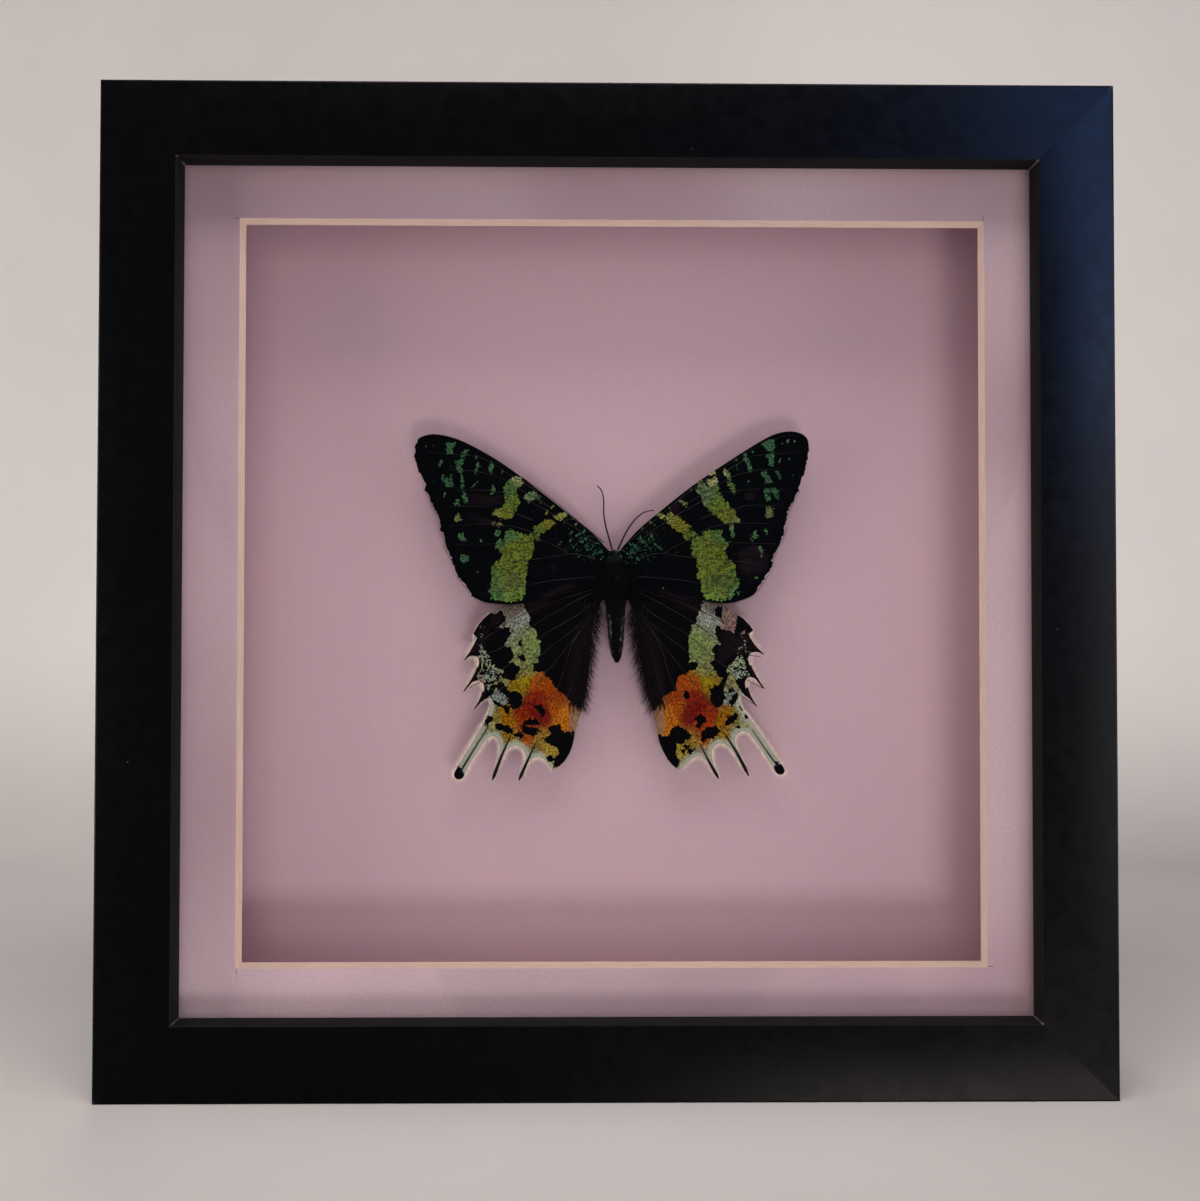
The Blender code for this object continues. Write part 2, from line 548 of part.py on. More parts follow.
def build():
    """Every piece of the framed moth."""
    for old in list(bpy.data.objects):
        bpy.data.objects.remove(old)
    black = material("black_moulding", (0.012, 0.012, 0.014), 0.32)
    glass = material("picture_glass", (1.0, 1.0, 1.0), 0.02, transmission=1.0)
    lilac = material("lilac_matboard", (0.42, 0.33, 0.43), 0.85)
    mauve = material("mauve_card", (0.55, 0.42, 0.47), 0.85)
    hardboard = material("hardboard", (0.2, 0.12, 0.07), 0.7)
    steel = material("pressed_steel", (0.55, 0.55, 0.56), 0.35, metallic=1.0)
    dark_wing = material("moth_forewing", (0.02, 0.022, 0.02), 0.6)
    bright_wing = material("moth_hindwing", (0.3, 0.12, 0.03), 0.6)
    fur = material("moth_fur", (0.02, 0.02, 0.02), 0.8)

    add_rails(black)
    half = PICTURE / 2
    across = (-half, half)
    up = (SIDE / 2 - half, SIDE / 2 + half)
    slab("glass_pane", across, (GLASS_D, GLASS_D + GLASS), up, glass)
    add_mat(lilac)
    add_liner(mauve)
    backing = slab("backing_board", across, (BACKING_D, BACKING_D + BACKING), up, mauve)
    socket = add_cutter("pin_socket", BORE_R, PIN_X, PIN_Z,
                        (BACKING_D - 1.0, WING_D + PIN_TIP + GAP), sides=10)
    apply_boolean(backing, socket, "DIFFERENCE")
    panel = slab("back_panel", across, (PANEL_D, PANEL_D + PANEL), up, hardboard)
    add_tabs(steel)
    add_hanger(panel, steel)

    add_body(fur)
    add_wing("forewing_left", FOREWING_LEFT, FOREWING_VEINS, 0.0, -1, dark_wing)
    add_wing("forewing_right", FOREWING_RIGHT, FOREWING_VEINS, 0.0, 1, dark_wing)
    add_wing("hindwing_left", HINDWING_LEFT, HINDWING_VEINS, HINDWING_D, -1, bright_wing)
    add_wing("hindwing_right", HINDWING_RIGHT, HINDWING_VEINS, HINDWING_D, 1, bright_wing)
    add_tube("antenna_left", FEELER_LEFT, FEELER_R, 6, fur)
    add_tube("antenna_right", FEELER_RIGHT, FEELER_R, 6, fur)
    for pair, points in LEGS.items():
        for name, side in (("left", -1), ("right", 1)):
            path = [(side * x, d, z) for x, d, z in points]
            add_tube(f"leg_{pair}_{name}", path, LEG_R, 6, fur)
    add_pin(steel)


build()
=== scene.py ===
# %% [markdown]
# # A day-flying moth in a black box frame
#
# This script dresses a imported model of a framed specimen: a large moth with tailed wings, pinned in
# front of a mauve card, behind a lilac window mat and glass. The solids give every piece its place
# and size. Each step below looks at one part of the real thing, says how it could be made in
# Blender, and why it is made the way it is here.
#
# Loading the frame comes first. Its pieces stay where they are, and finer pieces are built over them.

import math

import bmesh
import bpy
import numpy as np
from mathutils import Matrix, Vector
from mathutils.geometry import delaunay_2d_cdt


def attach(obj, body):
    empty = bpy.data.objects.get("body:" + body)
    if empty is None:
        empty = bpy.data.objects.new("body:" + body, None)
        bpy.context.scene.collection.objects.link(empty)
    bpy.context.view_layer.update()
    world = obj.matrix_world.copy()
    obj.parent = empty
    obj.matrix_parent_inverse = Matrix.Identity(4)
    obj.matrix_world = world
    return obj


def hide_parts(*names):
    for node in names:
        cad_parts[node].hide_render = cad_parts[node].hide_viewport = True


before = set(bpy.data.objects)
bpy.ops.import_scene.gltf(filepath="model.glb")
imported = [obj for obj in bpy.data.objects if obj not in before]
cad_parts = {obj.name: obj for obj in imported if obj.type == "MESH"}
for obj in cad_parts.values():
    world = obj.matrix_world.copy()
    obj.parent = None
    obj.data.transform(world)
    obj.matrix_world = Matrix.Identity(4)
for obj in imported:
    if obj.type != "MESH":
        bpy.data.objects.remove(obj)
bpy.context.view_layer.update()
scene = bpy.context.scene
MM = 0.001

# %% [markdown]
# ## Sizes
#
# A box frame is a sandwich. The moulding's lip holds the glass, the mat lies behind it, strips keep
# the card back, and the moth hangs in the space between. These numbers are read again by many
# steps, so they have names. Two sets of coordinates are used: the frame's own (x, depth behind the
# front, height) and the moth's, measured from its pin. One small function turns either into metres.

# %% Names for the main sizes, in millimetres
# The moulding: its outer side, width of its front, depth, thickness of its lip and of its wall
SIDE = 228.0
FACE = 17.2
DEPTH = 39.0
LIP = 5.9
WALL = 11.9
# The boards: their side, the mat's depth and thickness, its window's side and middle
PICTURE = 203.2
MAT_D = 8.5
MAT = 1.2
WINDOW = 171.8
WINDOW_X = 1.1
WINDOW_Z = -0.5
# The moth: its pin, its forewings' depth, how far behind them the hindwings lie, the wings' arch
PIN_X = 2.15
PIN_Z = 117.1
WING_D = 23.0
HINDWING_D = 0.95
ARCH = 0.9
ARCH_SPAN = 50.0


def metres(points, pinned=False):
    """Points in millimetres (x, depth, height) as metres, from the frame or from the moth's pin."""
    moved = np.asarray(points, float).reshape(-1, 3).copy()
    if pinned:
        moved += (PIN_X, WING_D, PIN_Z)
    moved[:, 1] -= DEPTH / 2
    return moved * MM


# %% [markdown]
# ## Colours and nodes
#
# Colours are easiest to pick as the hex values a painter's colour picker shows, but a shader needs
# linear light. `srgb` does that change in one place. `node` adds a node, sets its options and fills
# its inputs, so a material reads as a list of what feeds what.

# %% Helpers for colours, nodes and materials


def srgb(code):
    """A hex colour as linear red, green, blue and alpha."""
    values = [int(code[i:i + 2], 16) / 255 for i in (1, 3, 5)]
    return (*[v / 12.92 if v <= 0.04045 else ((v + 0.055) / 1.055) ** 2.4 for v in values], 1.0)


def node(tree, kind, options=None, inputs=None):
    """Adds a node. An input is a value, another node's output, or a node whose first output it takes."""
    made = tree.nodes.new(kind)
    for name, value in (options or {}).items():
        setattr(made, name, value)
    for name, value in (inputs or {}).items():
        socket = made.inputs[name]
        if isinstance(value, bpy.types.Node):
            value = value.outputs[0]
        if isinstance(value, bpy.types.NodeSocket):
            tree.links.new(value, socket)
        else:
            socket.default_value = value
    return made


def material(name):
    """A new material with its tree, its shader and Object coordinates in millimetres."""
    made = bpy.data.materials.new(name)
    made.use_nodes = True
    tree = made.node_tree
    shader = tree.nodes["Principled BSDF"]
    place = node(tree, "ShaderNodeTexCoord")
    mm = node(tree, "ShaderNodeVectorMath", {"operation": "SCALE"},
              {0: place.outputs["Object"], "Scale": 1000.0})
    return made, tree, shader, mm


def noise(tree, place, size, detail=2.0, stretch=(1.0, 1.0, 1.0)):
    """Noise whose lumps are about size millimetres across, longer along an axis stretched above 1."""
    scaled = node(tree, "ShaderNodeVectorMath", {"operation": "DIVIDE"},
                  {0: place, 1: tuple(size * s for s in stretch)})
    return node(tree, "ShaderNodeTexNoise", None, {"Vector": scaled, "Scale": 1.0, "Detail": detail})


def ramp(tree, value, low, high, to_low=0.0, to_high=1.0):
    """Turns low..high of a value into to_low..to_high, and holds it there beyond."""
    return node(tree, "ShaderNodeMapRange", {"interpolation_type": "SMOOTHSTEP"},
                {"Value": value, "From Min": low, "From Max": high, "To Min": to_low, "To Max": to_high})


def blend(tree, share, first, second, how="MIX"):
    """Colour that goes from first to second as share goes from 0 to 1."""
    mixed = node(tree, "ShaderNodeMix", {"data_type": "RGBA", "blend_type": how},
                 {0: share, 6: first, 7: second})
    return mixed.outputs[2]


def maths(tree, how, first, second=0.0, third=0.0):
    """One sum on values."""
    return node(tree, "ShaderNodeMath", {"operation": how}, {0: first, 1: second, 2: third})


def specks(tree, place, cell, size, share, seed=0.0):
    """Round specks about size millimetres across, in a share of cells that are cell millimetres wide."""
    moved = node(tree, "ShaderNodeVectorMath", {"operation": "ADD"}, {0: place, 1: (seed, seed, seed)})
    cells = node(tree, "ShaderNodeTexVoronoi", None, {"Vector": moved, "Scale": 1.0 / cell})
    near = ramp(tree, cells.outputs["Distance"], size / cell * 0.35, size / cell * 0.65, 1.0, 0.0)
    pick = node(tree, "ShaderNodeSeparateColor", None, {0: cells.outputs["Color"]})
    chosen = maths(tree, "LESS_THAN", pick.outputs[0], share)
    return maths(tree, "MULTIPLY", near, chosen)


def relief(tree, shader, height, distance, strength=1.0):
    """Fine bumps, with distance in millimetres."""
    bump = node(tree, "ShaderNodeBump", None,
                {"Strength": strength, "Distance": distance * MM, "Height": height})
    tree.links.new(bump.outputs[0], shader.inputs["Normal"])


def finish_shader(tree, shader, **inputs):
    """Fills a Principled shader's inputs, named with underscores for spaces."""
    for name, value in inputs.items():
        socket = shader.inputs[name.replace("_", " ")]
        if isinstance(value, bpy.types.Node):
            value = value.outputs[0]
        if isinstance(value, bpy.types.NodeSocket):
            tree.links.new(value, socket)
        else:
            socket.default_value = value


# %% Helpers that add a piece


def add_mesh(name, points, faces, finish, smooth=False):
    """A mesh object from points in metres, with its faces turned outwards."""
    mesh = bpy.data.meshes.new(name)
    mesh.from_pydata([tuple(p) for p in points], [], faces)
    mesh.validate()
    bm = bmesh.new()
    bm.from_mesh(mesh)
    bmesh.ops.recalc_face_normals(bm, faces=bm.faces)
    bm.to_mesh(mesh)
    bm.free()
    if finish:
        mesh.materials.append(finish)
    if smooth:
        mesh.shade_smooth()
    made = bpy.data.objects.new(name, mesh)
    scene.collection.objects.link(made)
    return made


def keep(piece, slot, *replaced):
    """Fixes a piece to the frame and hides the solids that it stands for; the slot it is given is not used.
    """
    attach(piece, "root")
    if replaced:
        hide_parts(*replaced)


def dress(name, finish):
    """Gives a solid that stays in sight its material."""
    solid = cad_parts[name]
    solid.data.materials.clear()
    solid.data.materials.append(finish)


def joined_rings(rings):
    """Points and faces that join equal rings of points and close both ends."""
    count = len(rings[0])
    faces = []
    for r in range(len(rings) - 1):
        for i in range(count):
            j = (i + 1) % count
            faces.append((r * count + i, r * count + j, (r + 1) * count + j, (r + 1) * count + i))
    faces.append(tuple(range(count)))
    faces.append(tuple(range((len(rings) - 1) * count, len(rings) * count)))
    return [p for ring in rings for p in ring], faces


# %% [markdown]
# ## Camera, floor and light
#
# The picture was taken from close by, a little left of the middle and a little below it, so the
# frame's inner walls show on every side. A specimen behind glass is lit from the sides: light that
# comes from where the camera stands would be mirrored by the glass and veil the black wings. So the
# soft lights stand in a ring around the view, those in front and below are kept out of mirrored
# light, and the floor is hidden from the glass.

# %% Camera, solved from the corners of the frame and of the mat's window
lens = bpy.data.cameras.new("camera")
lens.lens = 35.97
lens.sensor_width = 36.0
lens.clip_start = 0.01
camera = bpy.data.objects.new("camera", lens)
camera.location = (-0.004966, -0.28706, 0.106475)
camera.rotation_euler = [math.radians(a) for a in (91.04794, -0.06141, -0.64358)]
scene.collection.objects.link(camera)
scene.camera = camera

# %% Floor and backdrop
paper, tree, shader, mm = material("matt_paper_sweep")
finish_shader(tree, shader, Base_Color=blend(tree, noise(tree, mm, 40.0), srgb("#e9e6e5"), srgb("#efecea")),
              Roughness=0.9, Specular_IOR_Level=0.2)
# The sweep's front edge, where it starts to bend, the bend's radius, its top and half its width
FLOOR_FRONT = -700.0
BEND_START = 240.0
BEND = 120.0
WALL_TOP = 1800.0
HALF_WIDTH = 2400.0
profile = [(FLOOR_FRONT, -6.0), (FLOOR_FRONT, -1.5), (FLOOR_FRONT + 1.5, 0.0), (BEND_START, 0.0)]
profile += [(BEND_START + BEND * math.sin(a), BEND - BEND * math.cos(a))
            for a in np.linspace(0.1, math.pi / 2, 16)]
profile.append((BEND_START + BEND, WALL_TOP))
ends = [[(x * MM, y * MM, z * MM) for y, z in profile] for x in (-HALF_WIDTH, HALF_WIDTH)]
count = len(profile)
strips = [(i, i + 1, count + i + 1, count + i) for i in range(count - 1)]
sweep = add_mesh("floor", ends[0] + ends[1], strips, paper, smooth=True)
# Some lamps stand below the floor, so it casts no shadow and gives no fill light, and the glass
# neither mirrors it nor shows it.
sweep.visible_shadow = False
sweep.visible_glossy = False
sweep.visible_diffuse = False
sweep.visible_transmission = False

# %% Soft lights in a ring around the view


def softbox(name, place, size, watts, colour, aim=(0.0, 0.0, 0.114), gloss=True, fill=True):
    """A large soft lamp that points at the frame, with or without a reflection of its own."""
    light = bpy.data.lights.new(name, "AREA")
    light.shape = "RECTANGLE"
    light.size, light.size_y = size
    light.energy = watts
    light.color = srgb(colour)[:3]
    lamp = bpy.data.objects.new(name, light)
    lamp.location = place
    lamp.rotation_euler = (Vector(aim) - Vector(place)).to_track_quat("-Z", "Y").to_euler()
    lamp.visible_transmission = False
    lamp.visible_camera = False
    lamp.visible_glossy = gloss
    lamp.visible_diffuse = fill
    scene.collection.objects.link(lamp)


softbox("light_above", (0.0, -0.32, 0.80), (0.6, 0.25), 2.6, "#fff6f2")
softbox("light_behind", (-0.25, 0.80, 0.42), (0.5, 0.4), 2.2, "#fff6f2")
softbox("light_below", (0.0, -0.30, -0.36), (0.6, 0.25), 1.0, "#fff8f8", gloss=False)
softbox("light_left", (-0.62, -0.28, 0.12), (0.25, 0.5), 1.9, "#fff6f1")
softbox("light_right", (0.62, -0.28, 0.12), (0.25, 0.5), 1.5, "#fff6f2")
softbox("light_front", (0.0, -0.95, 0.11), (0.5, 0.5), 2.35, "#fff6f3", gloss=False)
softbox("light_low_front", (0.20, -0.70, -0.36), (0.3, 0.2), 2.1, "#fff8f8", gloss=False)
softbox("window_glow", (0.52, -0.60, 0.12), (0.25, 0.5), 0.6, "#fbf8ff", fill=False)
softbox("low_glow", (0.30, -0.50, -0.32), (0.4, 0.2), 0.7, "#ffeee6", fill=False)
softbox("sky_glow", (0.375, -0.47, 0.40), (0.20, 0.36), 1.1, "#76a8ff", (0.1, 0.0, 0.2), fill=False)
world = bpy.data.worlds.new("dim_room")
world.use_nodes = True
background = world.node_tree.nodes["Background"]
background.inputs["Color"].default_value = srgb("#2a2a2e")
background.inputs["Strength"].default_value = 0.5
scene.world = world
scene.view_settings.view_transform = "Standard"

# %% [markdown]
# ## The black moulding
#
# Four lengths of wood are cut at 45 degrees and pinned at the corners. A joiner's moulding is one
# profile drawn along a line, so each length here is a profile too, with small rounded edges where
# the router eased the wood. The cut is a hair's width open at the corners, as it is in real frames,
# and that line is what makes the frame look joined and not moulded in one.

# %% Satin black paint on wood
black_paint, tree, shader, mm = material("satin_black_paint_on_wood")
# Paint that was rolled on is almost flat: only faint streaks and a few dust specks catch light.
streaks = noise(tree, mm, 3.0, 3.0)
clouds = noise(tree, mm, 22.0, 2.0)
dust = specks(tree, mm, 9.0, 0.35, 0.25)
tone = blend(tree, clouds, srgb("#050507"), srgb("#08080a"))
where = node(tree, "ShaderNodeSeparateXYZ", None, {0: mm})
across = maths(tree, "ABSOLUTE", where.outputs["X"])
up = maths(tree, "ABSOLUTE", maths(tree, "SUBTRACT", where.outputs["Z"], SIDE / 2))
inward = maths(tree, "SUBTRACT", SIDE / 2, maths(tree, "MAXIMUM", across, up))
on_lip = ramp(tree, inward, FACE - 0.25, FACE - 0.05)
in_mitre = ramp(tree, maths(tree, "ABSOLUTE", maths(tree, "SUBTRACT", across, up)), 0.34, 0.16)
chipped = maths(tree, "MULTIPLY", maths(tree, "MULTIPLY", on_lip, in_mitre), ramp(tree, streaks, 0.35, 0.55))
tone = blend(tree, maths(tree, "MULTIPLY", dust, 0.35), tone, srgb("#6a6666"))
tone = blend(tree, on_lip, tone, srgb("#171416"))
gloss = blend(tree, on_lip, ramp(tree, streaks, 0.3, 0.7, 0.26, 0.33), (0.85, 0.85, 0.85, 1.0))
tone = blend(tree, maths(tree, "MULTIPLY", chipped, 0.8), tone, srgb("#8a7466"))
finish_shader(tree, shader, Base_Color=tone, Roughness=gloss, Specular_IOR_Level=0.16)
relief(tree, shader, noise(tree, mm, 0.8, 3.0), 0.02, 0.25)

# %% The four mitred lengths


def arc(centre, radius, start, stop, steps):
    """Points on an arc between two angles in degrees."""
    turns = [math.radians(start + (stop - start) * i / steps) for i in range(steps + 1)]
    return [(centre[0] + radius * math.cos(t), centre[1] + radius * math.sin(t)) for t in turns]


def add_rails():
    """Each rail is the profile (inward, depth), cut at both ends by the mitre."""
    mitre_gap = 0.02
    profile = arc((0.55, 0.55), 0.55, 180, 270, 6)
    profile += arc((FACE - 0.3, 0.3), 0.3, 270, 360, 5)
    profile += arc((FACE - 0.15, LIP - 0.15), 0.15, 0, 90, 3)
    profile += [(WALL, LIP)]
    profile += arc((WALL - 0.3, DEPTH - 0.3), 0.3, 0, 90, 4)
    profile += arc((0.4, DEPTH - 0.4), 0.4, 90, 180, 4)
    half = SIDE / 2
    for name, quarter in (("bottom", 0), ("right", 1), ("top", 2), ("left", 3)):
        rings = []
        for t in np.linspace(-1, 1, 7):
            ring = []
            for inward, d in profile:
                x = t * (half - inward - mitre_gap)
                z = inward - half
                for _ in range(quarter):
                    x, z = -z, x
                ring.append((x, d, z + half))
            rings.append(ring)
        points, faces = joined_rings(rings)
        rail = add_mesh(f"moulding_{name}", metres(points), faces, black_paint, smooth=True)
        rail.data.set_sharp_from_angle(angle=math.radians(35))
        keep(rail, "black_moulding", f"rail_{name}")


add_rails()

# %% [markdown]
# ## Glass
#
# Picture glass is clear, so its look is what it does to light: a small reflection and a little green
# in its edge. Lamp light reaches what is behind it straight through, which a Light Path node gives
# for shadow rays, because a path tracer would otherwise need very many samples to find the lamps.

# %% Clear float glass
glass, tree, shader, mm = material("clear_float_glass")
smears = noise(tree, mm, 35.0, 2.0)
finish_shader(tree, shader, Base_Color=srgb("#fbfdfc"), Roughness=ramp(tree, smears, 0.4, 0.8, 0.0, 0.012),
              IOR=1.5, Transmission_Weight=1.0)
clear = node(tree, "ShaderNodeBsdfTransparent", None, {"Color": srgb("#f7f9f8")})
path = node(tree, "ShaderNodeLightPath")
through = node(tree, "ShaderNodeMixShader", None,
               {0: path.outputs["Is Shadow Ray"], 1: shader, 2: clear})
output = tree.nodes["Material Output"]
tree.links.new(through.outputs[0], output.inputs["Surface"])
dress("glass_pane", glass)

# %% [markdown]
# ## The window mat
#
# A mat is cut from board with a knife held at 45 degrees, so the window's edge shows the cream core
# between two coloured papers. The knife runs a little past each corner, which leaves a short fine
# cut in the paper. Those over-cuts are only lines, so they are drawn in the shader as thin boxes.

# %% Lilac paper with its fibres, and the cut cream core
lilac, tree, shader, mm = material("lilac_mat_paper")
where = node(tree, "ShaderNodeSeparateXYZ", None, {0: mm})
window_left = WINDOW_X - WINDOW / 2
window_right = WINDOW_X + WINDOW / 2
window_top = SIDE / 2 + WINDOW_Z + WINDOW / 2
window_bottom = SIDE / 2 + WINDOW_Z - WINDOW / 2
# One over-cut at each corner: the middle of its line, then half its width and half its height
OVERCUTS = ((window_left - 0.65, window_top - 0.1, 0.65, 0.06),
            (window_right - 0.2, window_top + 0.7, 0.06, 0.7),
            (window_right + 0.75, window_bottom + 0.2, 0.75, 0.06),
            (window_left + 0.3, window_bottom - 0.6, 0.06, 0.6))
cuts = 0.0
for x, z, half_wide, half_high in OVERCUTS:
    across = maths(tree, "ABSOLUTE", maths(tree, "SUBTRACT", where.outputs["X"], x))
    up = maths(tree, "ABSOLUTE", maths(tree, "SUBTRACT", where.outputs["Z"], z))
    cut = maths(tree, "MULTIPLY", maths(tree, "LESS_THAN", across, half_wide),
                maths(tree, "LESS_THAN", up, half_high))
    cuts = maths(tree, "MAXIMUM", cuts, cut)
fibres = noise(tree, mm, 0.5, 4.0, (1.6, 1.0, 0.8))
pulp = blend(tree, ramp(tree, fibres, 0.35, 0.68), srgb("#c9adb5"), srgb("#d3b7bf"))
pulp = blend(tree, ramp(tree, noise(tree, mm, 60.0, 1.0), 0.3, 0.7), pulp, srgb("#bb9ba5"))
pulp = blend(tree, specks(tree, mm, 14.0, 0.4, 0.2, 3.0), pulp, srgb("#8a6f74"))
finish_shader(tree, shader, Base_Color=blend(tree, cuts, pulp, srgb("#5d464c")),
              Roughness=0.88, Specular_IOR_Level=0.25)
relief(tree, shader, fibres, 0.05, 0.35)

core, tree, shader, mm = material("cream_mat_core_knife_cut")
lines = noise(tree, mm, 0.3, 2.0, (18.0, 0.5, 18.0))
cream = blend(tree, ramp(tree, lines, 0.3, 0.7), srgb("#ccaea0"), srgb("#dabcae"))
finish_shader(tree, shader, Base_Color=cream, Roughness=0.9, Specular_IOR_Level=0.2)

# %% The mat: a ring of board whose cut edges wave by a hundredth of a millimetre


def add_mat():
    """A square ring of board: front paper, bevelled window, back paper and outer edge."""
    middle = SIDE / 2
    steps = 48

    def square(side, x, z, d, uneven=0.0):
        half = side / 2
        corners = [(-half, -half), (half, -half), (half, half), (-half, half)]
        ring = []
        for k in range(4):
            a, b = corners[k], corners[(k + 1) % 4]
            for i in range(steps):
                t = i / steps
                wave = uneven * math.sin(i * 1.7 + k) * math.sin(math.pi * t)
                px = a[0] + (b[0] - a[0]) * t + (wave if k % 2 else 0.0)
                pz = a[1] + (b[1] - a[1]) * t + (0.0 if k % 2 else wave)
                ring.append((px + x, d, middle + pz + z))
        return ring

    back = MAT_D + MAT
    rings = [square(PICTURE, 0.0, 0.0, MAT_D + 0.06),
             square(PICTURE - 0.12, 0.0, 0.0, MAT_D),
             square(WINDOW + 0.16, WINDOW_X, WINDOW_Z, MAT_D, 0.012),
             square(WINDOW, WINDOW_X, WINDOW_Z, MAT_D + 0.05, 0.012),
             square(WINDOW - 2 * MAT + 0.1, WINDOW_X, WINDOW_Z, back - 0.05, 0.02),
             square(WINDOW - 2 * MAT + 0.16, WINDOW_X, WINDOW_Z, back),
             square(PICTURE - 0.12, 0.0, 0.0, back),
             square(PICTURE, 0.0, 0.0, back - 0.06)]
    count = 4 * steps
    points = [p for ring in rings for p in ring]
    faces = []
    for r in range(len(rings)):
        after = (r + 1) % len(rings)
        for i in range(count):
            j = (i + 1) % count
            faces.append((r * count + i, r * count + j, after * count + j, after * count + i))
    made = add_mesh("window_mat", metres(points), faces, lilac)
    made.data.materials.append(core)
    bevel, outer_edge = 3, 7
    for face in made.data.polygons:
        face.material_index = 1 if face.index // count in (bevel, outer_edge) else 0
    keep(made, "lilac_matboard", "mat")
    return made


mat = add_mat()
print("mat faces:", len(mat.data.polygons))

# %% [markdown]
# ## Card, board and metal behind
#
# The card that carries the pin is matt and a little dusty, and its colour is even: what changes
# across it in the finished picture is only shadow. The hidden back is closed with hardboard, held
# by steel tabs. These flat pieces keep their solids, and their materials do the rest.

# %% Mauve card, foam-board strips, hardboard and zinc
mauve, tree, shader, mm = material("mauve_card_matt")
fibres = noise(tree, mm, 0.45, 4.0, (1.4, 1.0, 1.0))
card = blend(tree, ramp(tree, fibres, 0.3, 0.7), srgb("#caa8b3"), srgb("#d0afba"))
dark_dust = specks(tree, mm, 7.0, 0.28, 0.30)
long_dust = specks(tree, mm, 23.0, 0.6, 0.35, 5.0)
card = blend(tree, maths(tree, "MULTIPLY", dark_dust, 0.35), card, srgb("#7b6067"))
card = blend(tree, maths(tree, "MULTIPLY", long_dust, 0.30), card, srgb("#8d7078"))
finish_shader(tree, shader, Base_Color=card, Roughness=0.9, Specular_IOR_Level=0.2)
relief(tree, shader, fibres, 0.03, 0.3)
dress("backing_board", mauve)
for side in ("top", "bottom", "left", "right"):
    dress(f"liner_{side}", mauve)

hardboard, tree, shader, mm = material("pressed_hardboard")
fibres = noise(tree, mm, 1.2, 5.0, (2.5, 1.0, 1.0))
finish_shader(tree, shader, Roughness=0.75,
              Base_Color=blend(tree, ramp(tree, fibres, 0.3, 0.7), srgb("#5e4230"), srgb("#8a6747")))
relief(tree, shader, fibres, 0.1, 0.5)
dress("back_panel", hardboard)

zinc, tree, shader, mm = material("zinc_plated_steel")
rub = noise(tree, mm, 0.6, 3.0, (6.0, 1.0, 1.0))
finish_shader(tree, shader, Metallic=1.0, Roughness=ramp(tree, rub, 0.3, 0.7, 0.28, 0.45),
              Base_Color=blend(tree, ramp(tree, rub, 0.3, 0.7), srgb("#9a9a9c"), srgb("#c4c4c6")))
for side in ("top", "bottom", "left", "right"):
    for number in (1, 2):
        dress(f"tab_{side}_{number}", zinc)
for name in ("sawtooth_hanger", "hanger_rivet_left", "hanger_rivet_right"):
    dress(name, zinc)
pin_skin, tree, shader, mm = material("dull_pin_steel")
finish_shader(tree, shader, Base_Color=srgb("#4a4a4c"), Metallic=1.0, Roughness=0.5)
dress("pin", pin_skin)

# %% [markdown]
# ## The wings' outlines
#
# A moth's wing is a flat sheet with a long outline, so it is drawn as one: runs of points around
# its edge, smooth along a run and sharp where two runs meet, as at the tips of the tails. Each run
# also says how far a pale fringe stands out past the membrane there.

